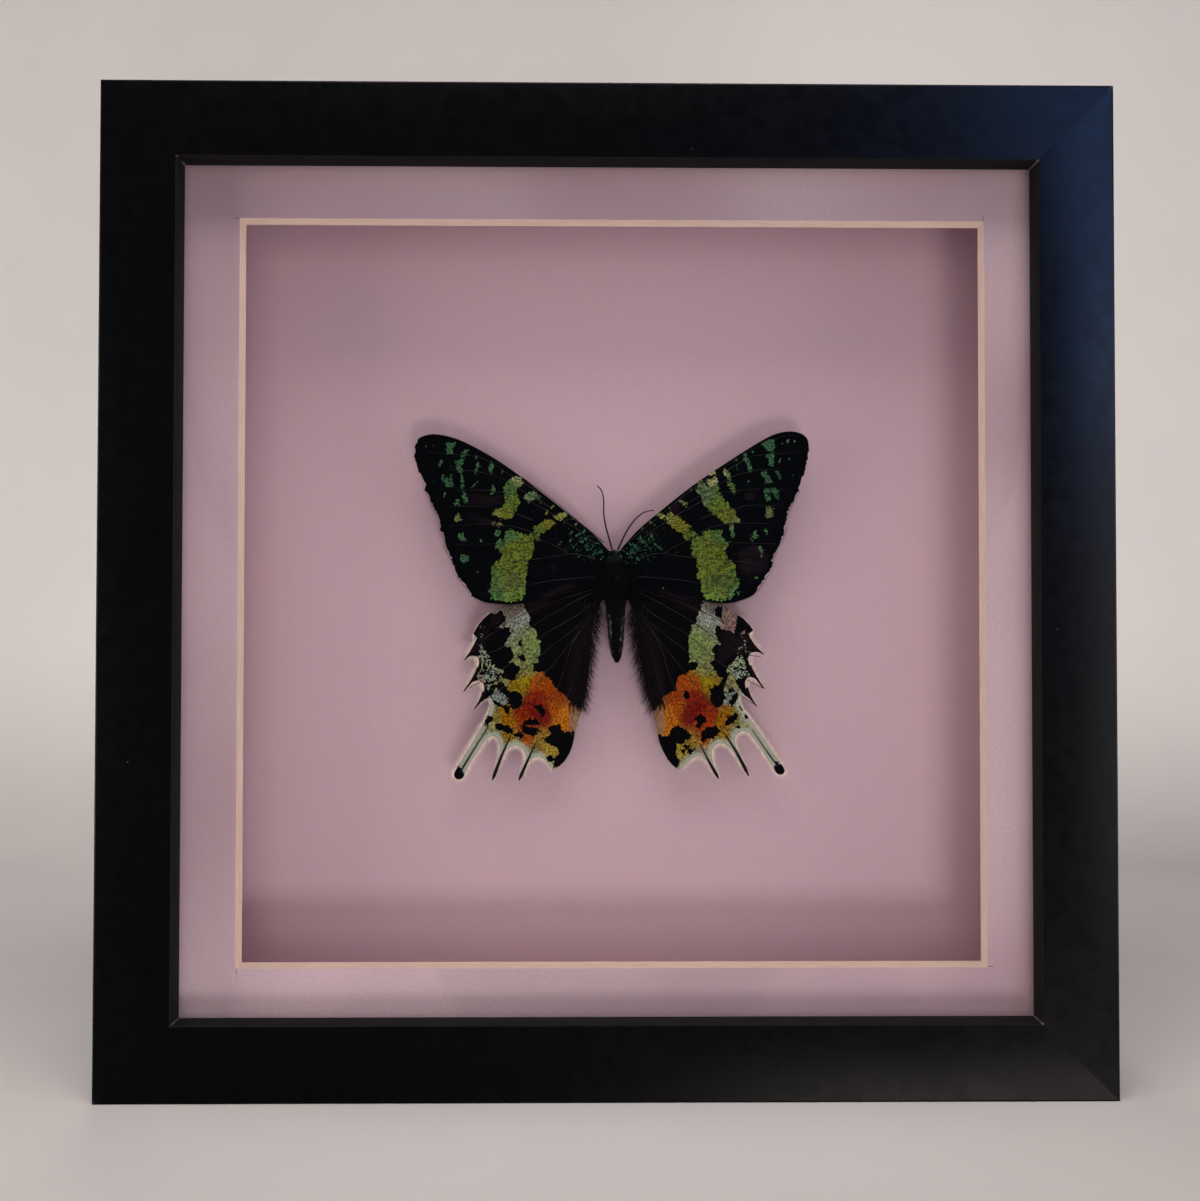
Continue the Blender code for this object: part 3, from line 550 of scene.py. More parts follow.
# %% Outlines in millimetres from the pin: (length of the fringe, points)
OUTLINES = {
    "forewing_left": (
        (0.0, ((-1.4, 6.4), (-2.4, 7.4), (-5.3, 10.5), (-10.9, 15.1), (-18.2, 20.9), (-25.7, 26.5),
               (-31.0, 29.9), (-36.5, 32.8), (-40.4, 34.2), (-44.0, 34.8), (-46.8, 34.3), (-48.3, 33.1),
               (-48.6, 31.0), (-48.8, 29.3), (-48.1, 27.0), (-47.6, 25.2), (-46.3, 22.8))),
        (0.0, ((-46.3, 22.8), (-46.1, 21.1), (-45.0, 19.4), (-44.0, 16.9), (-42.8, 14.8), (-42.7, 12.0))),
        (0.0, ((-42.7, 12.0), (-41.5, 10.0), (-41.0, 7.4), (-39.8, 5.0), (-39.2, 3.4), (-39.0, 1.4))),
        (0.0, ((-39.0, 1.4), (-37.4, -0.6), (-35.6, -2.8), (-34.8, -4.4))),
        (0.0, ((-34.8, -4.4), (-32.0, -5.7), (-27.0, -6.3), (-22.2, -6.1), (-18.5, -5.3), (-14.0, -3.9),
               (-10.0, -2.6), (-6.5, -1.9), (-3.9, -1.5), (-2.2, -1.4))),
        (0.0, ((-2.2, -1.4), (-2.2, 1.5), (-2.0, 4.0), (-1.6, 5.6), (-1.4, 6.4))),
    ),
    "forewing_right": (
        (0.0, ((0.9, 6.8), (2.6, 8.8), (6.0, 12.4), (10.2, 15.9), (18.4, 22.4), (27.4, 28.5),
               (35.2, 33.4), (38.8, 35.1), (42.2, 35.7), (44.8, 35.2), (46.4, 33.8), (46.7, 31.1),
               (46.1, 27.4), (45.3, 24.2), (44.4, 21.5))),
        (0.0, ((44.4, 21.5), (43.0, 19.0), (41.6, 16.2), (41.2, 13.6))),
        (0.0, ((41.2, 13.6), (40.7, 11.0), (39.8, 8.8), (39.2, 7.3))),
        (0.0, ((39.2, 7.3), (37.9, 4.9), (37.6, 3.0), (37.4, 1.9))),
        (0.0, ((37.4, 1.9), (35.8, -0.2), (34.4, -2.4), (33.4, -3.9))),
        (0.0, ((33.4, -3.9), (30.8, -5.1), (27.6, -5.9), (24.0, -5.9), (20.5, -5.3), (15.0, -4.9),
               (10.0, -4.0), (6.5, -2.6), (3.9, -1.8), (2.2, -1.6))),
        (0.0, ((2.2, -1.6), (2.2, 1.5), (1.9, 4.0), (1.2, 5.8), (0.9, 6.8))),
    ),
    "hindwing_left": (
        (0.0, ((-2.2, -1.2), (-9.0, -1.0), (-15.0, -2.0), (-21.0, -4.1), (-26.0, -6.3), (-28.6, -7.4),
               (-31.0, -8.9), (-33.0, -11.0), (-34.4, -13.4))),
        (0.8, ((-34.4, -13.4), (-33.5, -14.4))), (0.8, ((-33.5, -14.4), (-34.6, -16.6), (-36.3, -19.4))),
        (0.9, ((-36.3, -19.4), (-34.6, -18.6), (-33.2, -19.2), (-33.1, -21.0), (-34.4, -23.7),
               (-36.5, -27.1))),
        (0.9, ((-36.5, -27.1), (-35.0, -25.3), (-33.4, -24.7), (-32.0, -25.3), (-31.8, -27.2),
               (-32.8, -29.6), (-33.9, -31.3))),
        (0.8, ((-33.9, -31.3), (-32.4, -29.7), (-31.0, -28.9), (-30.1, -29.7), (-30.5, -32.0),
               (-31.7, -34.6), (-33.6, -38.0), (-36.0, -42.0), (-38.2, -45.6), (-39.0, -47.3),
               (-38.3, -48.4), (-37.0, -48.2), (-36.3, -46.9), (-34.8, -44.0), (-33.0, -41.3),
               (-31.4, -39.0), (-29.6, -37.9), (-28.2, -39.0), (-27.9, -41.4), (-28.4, -43.8),
               (-29.2, -46.6), (-30.0, -49.0))),
        (0.8, ((-30.0, -49.0), (-28.5, -46.0), (-27.5, -43.4), (-26.2, -41.2), (-24.2, -40.2),
               (-22.3, -41.2), (-21.6, -43.2), (-22.2, -45.8), (-23.4, -48.9))),
        (0.8, ((-23.4, -48.9), (-21.9, -45.8), (-20.6, -43.7), (-18.6, -43.0), (-16.9, -43.9),
               (-15.2, -46.4))),
        (0.0, ((-15.2, -46.4), (-12.9, -44.7), (-11.4, -42.6), (-10.5, -40.4), (-9.9, -37.6))),
        (0.0, ((-9.9, -37.6), (-9.3, -35.0), (-8.3, -32.0), (-7.3, -28.0), (-6.6, -22.0), (-6.0, -16.0),
               (-5.4, -11.0), (-4.6, -8.0), (-3.4, -5.6), (-2.4, -4.4), (-2.2, -1.2))),
    ),
    "hindwing_right": (
        (0.0, ((2.2, -1.2), (9.0, -1.3), (15.0, -2.2), (21.0, -4.0), (25.5, -6.1), (28.0, -7.8),
               (30.6, -9.5), (32.2, -11.0), (33.2, -12.5))),
        (0.8, ((33.2, -12.5), (32.1, -13.4))), (0.8, ((32.1, -13.4), (33.0, -15.3), (35.5, -18.1))),
        (0.9, ((35.5, -18.1), (33.6, -17.7), (32.2, -18.6), (32.2, -20.6), (33.8, -23.6), (35.6, -26.4))),
        (0.9, ((35.6, -26.4), (34.0, -24.4), (32.4, -23.8), (31.3, -24.6), (31.4, -26.6), (32.5, -29.0),
               (33.8, -30.6))),
        (0.8, ((33.8, -30.6), (32.0, -28.8), (30.4, -28.0), (29.6, -28.9), (30.2, -31.0), (31.8, -33.2),
               (34.0, -36.2), (37.0, -40.6), (39.4, -44.0), (40.8, -46.2), (40.2, -47.3), (38.9, -47.0),
               (37.8, -45.2), (36.0, -42.4), (33.8, -39.2), (32.2, -37.3), (30.2, -36.9), (28.8, -38.2),
               (28.9, -40.2), (30.2, -43.2), (31.4, -45.8), (32.3, -48.0))),
        (0.8, ((32.3, -48.0), (30.6, -45.4), (29.2, -43.0), (27.6, -40.8), (25.3, -39.6), (23.4, -40.8),
               (23.1, -43.0), (23.9, -45.8), (25.0, -48.6))),
        (0.8, ((25.0, -48.6), (23.2, -46.0), (21.8, -43.9), (19.8, -42.8), (17.8, -43.9), (15.6, -46.4))),
        (0.0, ((15.6, -46.4), (13.3, -44.7), (11.8, -42.4), (10.6, -39.8), (10.0, -37.2))),
        (0.0, ((10.0, -37.2), (9.6, -34.6), (8.7, -31.6), (7.4, -26.8), (6.2, -21.0), (5.3, -15.5),
               (4.8, -11.0), (4.3, -8.0), (3.2, -5.6), (2.4, -4.4), (2.2, -1.2))),
    ),
}

# %% [markdown]
# ## Where the bands and spots are
#
# The colours are bands and spots of tiny scales, and each one has a border of its own. They could
# be painted as an image, but outlines that are measured and typed in stay sharp at any size. A
# mark is a closed outline or, for a thin streak, a line with a width. Later every point of a wing
# learns how far it is from the nearest border, and the shader makes that border ragged.

# %% Green marks of the forewings
GREEN = {
    "forewing_left": (
        ((-41.0, 32.8), (-39.0, 32.8), (-39.2, 31.6), (-39.6, 30.1), (-40.8, 30.0), (-40.7, 31.5)),
        ((-37.4, 29.3), (-37.2, 30.4), (-36.4, 31.2), (-35.6, 30.8), (-36.0, 29.9), (-36.8, 29.2)),
        ((-43.1, 27.1), (-42.3, 28.6), (-41.4, 28.9), (-42.0, 27.6), (-42.6, 27.0)),
        ((-39.3, 28.4), (-36.8, 28.9), (-36.9, 27.6), (-37.6, 27.2), (-37.1, 26.2), (-36.9, 25.7),
         (-38.2, 25.6), (-38.5, 26.8), (-38.7, 27.5)),
        ((-34.2, 25.4), (-33.9, 26.5), (-33.6, 28.0), (-33.0, 28.0), (-33.1, 26.8), (-33.8, 25.0),
         (-34.0, 24.7)),
        ((-30.9, 25.8), (-30.6, 27.4), (-30.1, 28.1), (-29.7, 27.0), (-29.8, 25.6), (-30.0, 24.0),
         (-30.4, 25.3)),
        ((-41.9, 25.0), (-41.7, 23.2), (-40.8, 22.2), (-39.8, 22.2), (-39.2, 24.7), (-39.9, 25.0),
         (-40.4, 24.0), (-40.6, 22.9), (-41.1, 24.2)),
        ((-37.6, 25.2), (-37.2, 25.0), (-36.8, 23.5), (-36.7, 22.2), (-37.5, 21.8), (-37.4, 23.2)),
        ((-29.9, 22.4), (-29.3, 22.3), (-29.2, 21.0), (-29.8, 20.1), (-30.2, 20.4)),
        ((-24.9, 24.3), (-24.1, 24.7), (-22.6, 23.9), (-22.5, 23.2), (-23.1, 22.2), (-24.0, 21.2),
         (-24.0, 19.8), (-23.5, 18.6), (-23.5, 17.6), (-24.2, 16.6), (-24.8, 15.6), (-25.4, 14.5),
         (-26.2, 14.2), (-28.0, 14.4), (-30.0, 15.3), (-29.5, 16.0), (-28.6, 16.6), (-27.3, 17.0),
         (-26.9, 18.2), (-26.9, 20.3), (-27.0, 21.8), (-26.6, 22.5), (-25.8, 23.5)),
        ((-30.4, 13.6), (-29.4, 13.7), (-28.0, 13.4), (-27.2, 13.0), (-28.0, 12.7), (-29.6, 13.0)),
        ((-37.2, 19.6), (-36.9, 20.6), (-36.1, 20.4), (-35.9, 19.2), (-36.0, 18.3), (-36.6, 17.8),
         (-36.9, 18.8)),
        ((-38.9, 18.2), (-38.6, 19.2), (-37.9, 18.7), (-37.8, 17.8), (-38.6, 17.7)),
        ((-38.9, 13.9), (-38.6, 15.0), (-38.1, 15.9), (-37.6, 14.9), (-37.3, 13.9)),
        ((-38.1, 11.2), (-37.9, 10.0), (-37.5, 9.2), (-36.3, 8.8), (-36.0, 9.3), (-36.8, 9.8),
         (-36.8, 11.0)),
        ((-37.9, 4.4), (-37.3, 5.4), (-36.4, 5.6), (-35.5, 5.3), (-35.8, 4.2), (-36.8, 3.9)),
        ((-29.0, 10.2), (-29.0, 11.5), (-28.0, 11.6), (-27.9, 10.4)),
        ((-26.7, 10.4), (-26.3, 11.3), (-25.3, 11.7), (-24.0, 11.2), (-22.6, 10.6), (-21.0, 10.0),
         (-20.2, 9.4), (-19.9, 8.4), (-20.0, 6.5), (-20.2, 5.2), (-20.9, 4.5), (-21.4, 3.0), (-21.6, 1.0),
         (-21.7, -1.0), (-21.9, -2.6), (-22.3, -4.2), (-23.0, -5.2), (-24.5, -5.7), (-27.0, -5.5),
         (-30.0, -5.0), (-30.4, -3.9), (-30.8, -3.1), (-30.2, -2.6), (-30.3, -1.6), (-30.0, 0.5),
         (-30.1, 2.0), (-29.6, 3.2), (-28.8, 3.8), (-27.8, 4.2), (-27.6, 5.5), (-27.9, 6.6), (-28.8, 7.3),
         (-29.3, 7.9), (-28.7, 8.6), (-28.3, 9.3), (-27.2, 9.4)),
        ((-12.9, 16.1), (-11.9, 15.7), (-12.3, 14.8), (-13.4, 13.9), (-14.5, 14.2), (-15.2, 14.8),
         (-14.3, 15.3)),
        ((-16.8, 14.2), (-15.0, 14.0), (-14.6, 13.2), (-16.0, 12.3), (-17.5, 11.0), (-18.3, 10.6),
         (-18.5, 9.4), (-20.5, 9.3), (-21.0, 10.2), (-19.6, 11.4), (-19.6, 12.3), (-18.2, 13.3)),
        ((-22.2, 19.2), (-21.5, 20.2), (-20.4, 21.4), (-19.6, 21.0), (-18.3, 19.7), (-19.2, 18.9),
         (-20.4, 18.5), (-21.3, 18.5)),
    ),
    "forewing_right": (
        ((35.3, 32.4), (36.2, 33.4), (37.2, 33.7), (38.2, 33.3), (38.3, 31.8), (37.6, 31.0), (36.5, 30.8),
         (36.2, 31.8)),
        ((36.3, 29.9), (37.3, 30.1), (38.0, 30.6), (38.3, 29.6), (38.1, 28.6), (38.2, 27.4), (37.3, 27.4),
         (37.0, 28.6), (36.4, 29.2)),
        ((38.4, 26.0), (39.2, 26.3), (39.7, 25.2), (40.0, 24.3), (39.5, 24.0), (39.0, 25.2)),
        ((35.0, 25.8), (36.2, 26.0), (36.8, 25.2), (37.2, 24.2), (37.8, 23.3), (37.0, 22.7), (36.2, 23.2),
         (36.0, 24.4), (35.3, 24.8)),
        ((25.6, 26.2), (26.4, 26.5), (27.4, 25.4), (27.6, 23.9), (28.2, 22.9), (28.6, 21.6), (28.8, 20.4),
         (28.2, 20.2), (27.8, 21.6), (27.1, 22.4), (27.0, 23.8), (26.6, 25.0)),
        ((30.8, 30.0), (31.2, 30.5), (31.8, 30.1), (31.4, 29.2), (30.9, 29.3)),
        ((30.8, 28.8), (31.6, 28.8), (32.5, 28.2), (32.6, 27.0), (32.9, 26.0), (32.2, 25.9), (31.9, 27.1),
         (31.3, 28.0)),
        ((35.9, 21.0), (36.4, 21.8), (37.4, 21.6), (38.3, 21.9), (39.3, 21.3), (39.3, 20.4), (39.2, 19.4),
         (38.6, 19.7), (38.3, 20.5), (37.5, 21.0), (37.0, 20.6), (36.6, 20.9), (36.5, 20.0), (37.4, 19.7),
         (37.4, 19.0), (36.5, 18.6), (36.0, 19.2), (36.1, 20.2)),
        ((36.2, 17.3), (37.6, 17.1), (38.2, 16.2), (37.8, 14.9), (36.8, 14.6), (35.9, 14.8),
         (36.3, 15.8)),
        ((19.3, 21.6), (19.8, 22.4), (20.8, 23.2), (21.4, 23.0), (22.0, 22.2), (22.5, 21.9), (22.0, 22.9),
         (22.0, 23.6), (23.2, 24.4), (23.9, 25.0), (24.2, 24.2), (24.3, 23.0), (25.0, 22.0), (25.0, 20.8),
         (25.4, 20.0), (25.9, 19.0), (27.2, 17.9), (28.4, 16.8), (28.8, 15.6), (29.4, 14.6), (30.5, 14.0),
         (29.4, 13.7), (27.8, 13.3), (26.6, 13.1), (25.6, 13.6), (25.0, 14.6), (23.4, 15.4), (22.4, 16.4),
         (21.4, 17.5), (20.7, 18.4), (20.9, 19.4), (20.4, 20.0), (19.6, 20.8)),
        ((19.4, 22.2), (20.0, 23.4), (20.8, 23.9), (21.3, 23.6), (20.4, 22.9)),
        ((22.6, 24.9), (23.2, 25.6), (24.0, 26.0), (24.0, 25.3), (23.2, 25.0)),
        ((15.1, 18.6), (15.6, 19.0), (16.4, 18.8), (17.0, 18.0), (16.8, 17.2), (16.2, 17.6),
         (15.7, 18.2)),
        ((12.0, 14.8), (12.4, 15.8), (13.3, 15.8), (14.6, 15.2), (15.4, 14.8), (16.0, 13.9), (17.0, 13.4),
         (17.9, 12.6), (17.6, 11.7), (19.0, 11.4), (19.2, 10.6), (18.4, 9.9), (17.2, 9.2), (16.4, 9.8),
         (16.0, 11.0), (14.8, 11.4), (13.6, 12.6), (12.6, 13.6)),
        ((9.7, 15.2), (10.2, 15.9), (10.9, 16.0), (11.4, 15.4), (11.8, 14.8), (11.2, 14.4), (10.4, 14.7)),
        ((18.0, 9.4), (18.8, 9.4), (20.0, 10.2), (21.2, 11.2), (22.4, 11.6), (23.6, 11.5), (24.6, 11.8),
         (25.4, 11.4), (25.3, 10.4), (26.2, 9.6), (27.0, 8.9), (28.0, 8.5), (27.2, 7.8), (26.4, 7.2),
         (26.3, 6.2), (26.6, 5.0), (27.8, 4.4), (28.6, 3.2), (28.8, 1.8), (28.8, 0.6), (29.6, -0.4),
         (30.0, -1.4), (29.6, -2.4), (28.4, -2.8), (28.2, -4.0), (27.6, -4.9), (25.6, -5.3), (23.2, -5.2),
         (21.6, -4.8), (20.9, -3.6), (20.6, -2.2), (20.6, -1.0), (19.8, 0.0), (19.6, 1.4), (19.8, 2.6),
         (19.4, 4.0), (19.6, 5.0), (18.6, 5.2), (18.2, 6.6), (18.4, 8.0)),
        ((27.2, 13.0), (27.6, 13.4), (28.2, 12.9), (28.2, 11.4), (28.6, 10.8), (28.0, 10.0), (27.7, 10.6),
         (27.8, 11.6)),
        ((33.0, 10.0), (33.6, 11.6), (34.4, 10.2), (33.8, 9.7)),
        ((35.8, 12.2), (36.2, 11.0), (36.6, 10.4), (36.9, 10.8), (36.4, 11.8)),
        ((34.2, 7.6), (34.8, 6.6), (34.9, 5.0), (35.4, 5.6), (35.4, 6.8), (34.8, 7.6)),
    ),
}

# Thin streaks and dots of pale scales: half width, then the line's points. One point is a dot.
STREAKS = {
    "forewing_left": (
        (0.22, (-44.1, 32.1)), (0.2, (-46.0, 31.9)), (0.26, (-33.7, 29.6), (-33.8, 29.0)),
        (0.2, (-27.2, 26.0), (-27.7, 25.4)), (0.18, (-39.9, 27.0)), (0.22, (-44.0, 23.4)),
        (0.18, (-34.8, 21.9), (-33.4, 23.2)), (0.28, (-41.3, 20.4), (-41.4, 19.6)), (0.2, (-40.1, 14.8)),
        (0.18, (-41.3, 14.8)), (0.2, (-39.7, 10.0)), (0.24, (-32.6, 9.4), (-32.5, 9.0)),
        (0.22, (-33.1, 1.8), (-33.2, 1.5)), (0.25, (-15.2, 17.5), (-15.6, 17.0)),
        (0.2, (-16.6, 16.5), (-16.9, 15.2)), (0.24, (-9.3, 13.4), (-9.8, 12.9)),
        (0.22, (-7.5, 11.7), (-8.1, 11.0)), (0.2, (-8.9, 10.8), (-9.7, 10.2)),
        (0.2, (-6.5, 10.4), (-7.2, 9.8)), (0.16, (-7.4, 9.9), (-8.4, 8.6)),
        (0.24, (-4.2, 8.7), (-4.9, 8.3)), (0.18, (-5.2, 7.9), (-6.3, 7.0)),
        (0.14, (-11.0, 7.7), (-11.6, 7.0)), (0.14, (-12.0, 6.8), (-12.6, 6.2)), (0.12, (-15.1, 6.5)),
        (0.14, (-13.2, 8.8), (-13.8, 8.0)), (0.16, (-9.4, 8.4), (-10.3, 7.5)),
        (0.2, (-3.4, 7.0), (-4.2, 6.2)), (0.16, (-2.9, 5.4), (-3.8, 4.6)),
        (0.14, (-6.4, 8.9), (-7.6, 7.6)), (0.14, (-5.0, 6.2), (-5.9, 5.4)),
        (0.12, (-8.2, 7.0), (-9.4, 6.0)), (0.12, (-10.4, 9.6), (-11.2, 8.8)),
        (0.12, (-17.6, 19.0), (-18.2, 18.0)), (0.16, (-10.6, 11.4), (-11.2, 10.6)),
    ),
    "forewing_right": (
        (0.24, (29.0, 28.8), (28.8, 28.6)), (0.14, (29.1, 27.6), (29.4, 26.4)), (0.24, (33.0, 30.7)),
        (0.22, (40.3, 32.8), (40.2, 32.5)), (0.3, (41.6, 33.5), (41.7, 33.2)), (0.24, (43.3, 33.2)),
        (0.26, (41.9, 29.0)), (0.22, (42.9, 25.0)), (0.18, (32.0, 23.9), (31.9, 23.4)),
        (0.18, (39.7, 29.3), (39.4, 28.0)), (0.2, (18.2, 22.0), (18.1, 21.2)),
        (0.2, (32.9, 9.2), (32.5, 9.6)), (0.26, (33.5, 0.2), (34.1, 0.3)),
        (0.16, (29.2, -3.4), (29.5, -3.0), (30.0, -3.3), (29.9, -3.9), (29.5, -4.0)),
        (0.2, (11.2, -2.3), (11.5, -2.3)), (0.18, (7.3, 1.5)), (0.22, (1.1, 7.4)),
        (0.18, (1.5, 6.9), (3.1, 5.8)), (0.14, (2.7, 9.0), (3.6, 8.2)), (0.34, (4.1, 8.2), (4.7, 7.8)),
        (0.14, (4.6, 7.6), (5.8, 6.6)), (0.2, (6.0, 9.6), (6.8, 8.4)),
        (0.15, (6.6, 9.2), (8.4, 6.8), (8.9, 6.0)), (0.16, (8.2, 10.6), (9.4, 9.2)),
        (0.24, (9.2, 8.5), (11.0, 7.0)), (0.18, (7.6, 13.9), (8.7, 13.4)),
        (0.2, (6.1, 12.0), (6.6, 12.4)), (0.16, (3.3, 5.8), (4.0, 5.2)), (0.14, (2.2, 4.0), (3.0, 3.6)),
        (0.14, (5.0, 5.0), (5.8, 4.2)), (0.14, (5.2, 9.6), (6.2, 8.6)), (0.12, (3.4, 7.2), (4.4, 6.4)),
        (0.14, (7.4, 9.8), (8.4, 8.8)), (0.2, (32.4, 10.5)), (0.16, (28.8, 5.9)),
        (0.14, (12.8, 17.2), (13.4, 16.4)), (0.14, (17.9, 16.0)),
    ),
    "hindwing_left": ((0.2, (-8.0, -13.0)),),
    "hindwing_right": ((0.2, (8.9, -13.0)),),
}

